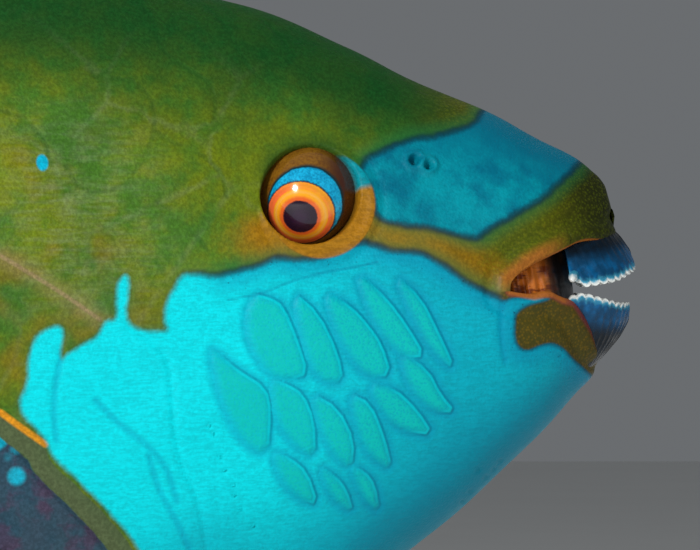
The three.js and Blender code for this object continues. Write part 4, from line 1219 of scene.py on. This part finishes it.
def buildFins():
    centres = {
        "dorsal": medianCentre(fins["dorsal"], body["dorsal"], 1),
        "anal": medianCentre(fins["anal"], body["ventral"], -1), "tail": tailCentre,
    }
    for kind, centre in centres.items():
        buildFin(f"{kind}_web", fins[kind], centre, finPaint(kind), f"{kind}_fin")
    for kind in ("pectoral", "pelvic"):
        material, form = finPaint(kind), fins[kind]
        for side, word in bothSides:
            buildFin(f"{kind}_web_{word}", form, pairedCentre(form, side), material, f"{kind}_fin_{word}")


# stand: dark lacquered wood and brushed steel, on the solids as they are
standTones = {
    "wood": (34, 22, 15), "grain": (78, 52, 34), "pore": (18, 12, 8), "steel": (150, 150, 148),
    "sheen": (206, 206, 202),
}


def woodPaint():
    paint = Paint("darkWood", standTones, Coat_Weight=0.35, Coat_Roughness=0.25)
    stretched = paint.place * (0.06, 1.0, 1.0)
    streaks, pores = paint.noise(2.2, 6, 0.65, stretched), paint.noise(0.5, 3, 0.5, stretched)
    paint.base = paint.mix("wood", "grain", streaks.step(0.35, 0.7))
    paint.lay("pore", pores.step(0.6, 0.72) * 0.6)
    return paint.finish(0.42 + (streaks - 0.5) * 0.25, streaks + pores * 0.5, strength=0.25, depth=0.2)


def steelPaint():
    paint = Paint("brushedSteel", standTones, Metallic=1.0)
    brushed = paint.noise(0.5, 4, 0.6, paint.place * (1.0, 1.0, 0.04))
    paint.base = paint.mix("steel", "sheen", brushed)
    return paint.finish(0.24 + brushed * 0.22, brushed, strength=0.12, depth=0.05)


def dressStand():
    for name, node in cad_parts.items():
        if name.startswith("stand_"):
            node.data.materials.clear()
            node.data.materials.append(woodPaint() if name == "stand_base" else steelPaint())


# studio: a pale, flat floor, with soft lights mostly from the camera's side
studio = {
    "floor": (0.8, 0.8, 0.78), "clouds": 0.94, "width": 6.0, "world": 0.16, "sky": (0.9, 0.95, 1.0, 1.0),
    "key": {"place": (-0.38, -1.0, 0.62), "aim": (0.06, 0, 0.13), "size": 0.2, "power": 9.5},
    "fill": {"place": (0.6, -1.0, 0.3), "aim": (0.0, 0, 0.13), "size": 0.9, "power": 2.2},
    "back": {"place": (0.3, 0.9, 0.8), "aim": (0.0, 0, 0.13), "size": 0.8, "power": 4.6},
    "top": {"place": (-0.1, 0.1, 1.3), "aim": (0.0, 0, 0.1), "size": 1.0, "power": 2.4},
}


def buildStudio():
    bpy.context.scene.view_settings.view_transform = "Standard"  # keeps the turquoise as strong as it is
    world = bpy.data.worlds.new("studio")
    world.use_nodes = True
    background = world.node_tree.nodes["Background"]
    background.inputs[0].default_value, background.inputs[1].default_value = studio["sky"], studio["world"]
    bpy.context.scene.world = world
    for name in ("key", "fill", "back", "top"):
        light = studio[name]
        data = bpy.data.lights.new(name, "AREA")
        data.shape, data.size, data.energy = "DISK", light["size"], light["power"]
        lamp = bpy.data.objects.new(name, data)
        lamp.location = light["place"]
        lamp.visible_glossy = name == "key"  # one glint in each eye
        toward = Vector(light["aim"]) - Vector(light["place"])
        lamp.rotation_euler = toward.to_track_quat("-Z", "Y").to_euler()
        bpy.context.scene.collection.objects.link(lamp)
    half = studio["width"] / 2
    mesh = bpy.data.meshes.new("floor")
    corners = [(-half, -half, 0), (half, -half, 0), (half, half, 0), (-half, half, 0)]
    mesh.from_pydata(corners, [], [(0, 1, 2, 3)])
    floor = bpy.data.objects.new("floor", mesh)
    paint = Paint("paleFloor")
    cloud = paint.noise(120)
    paint.base = paint.mix(studio["floor"], tuple(c * studio["clouds"] for c in studio["floor"]), cloud)
    mesh.materials.append(paint.finish(0.7 + cloud * 0.1))
    bpy.context.scene.collection.objects.link(floor)


addCamera()
buildStudio()
print("camera and studio set")
buildSkin(skinPaint("headAndBodySkin"))
print("skin made")
buildScales(skinPaint("bodyScales"))
print("scales made")
wetEye, enamel = eyePaint(), beakPaint()
for side, word in bothSides:
    buildEye(side, word, wetEye)
    buildPlate("upper", side, word, enamel)
    buildPlate("lower", side, word, enamel)
    buildCanine(side, word, enamel)
buildGum(gumPaint())
print("eyes and beak made")
buildFins()
dressStand()
print("fins and stand made")
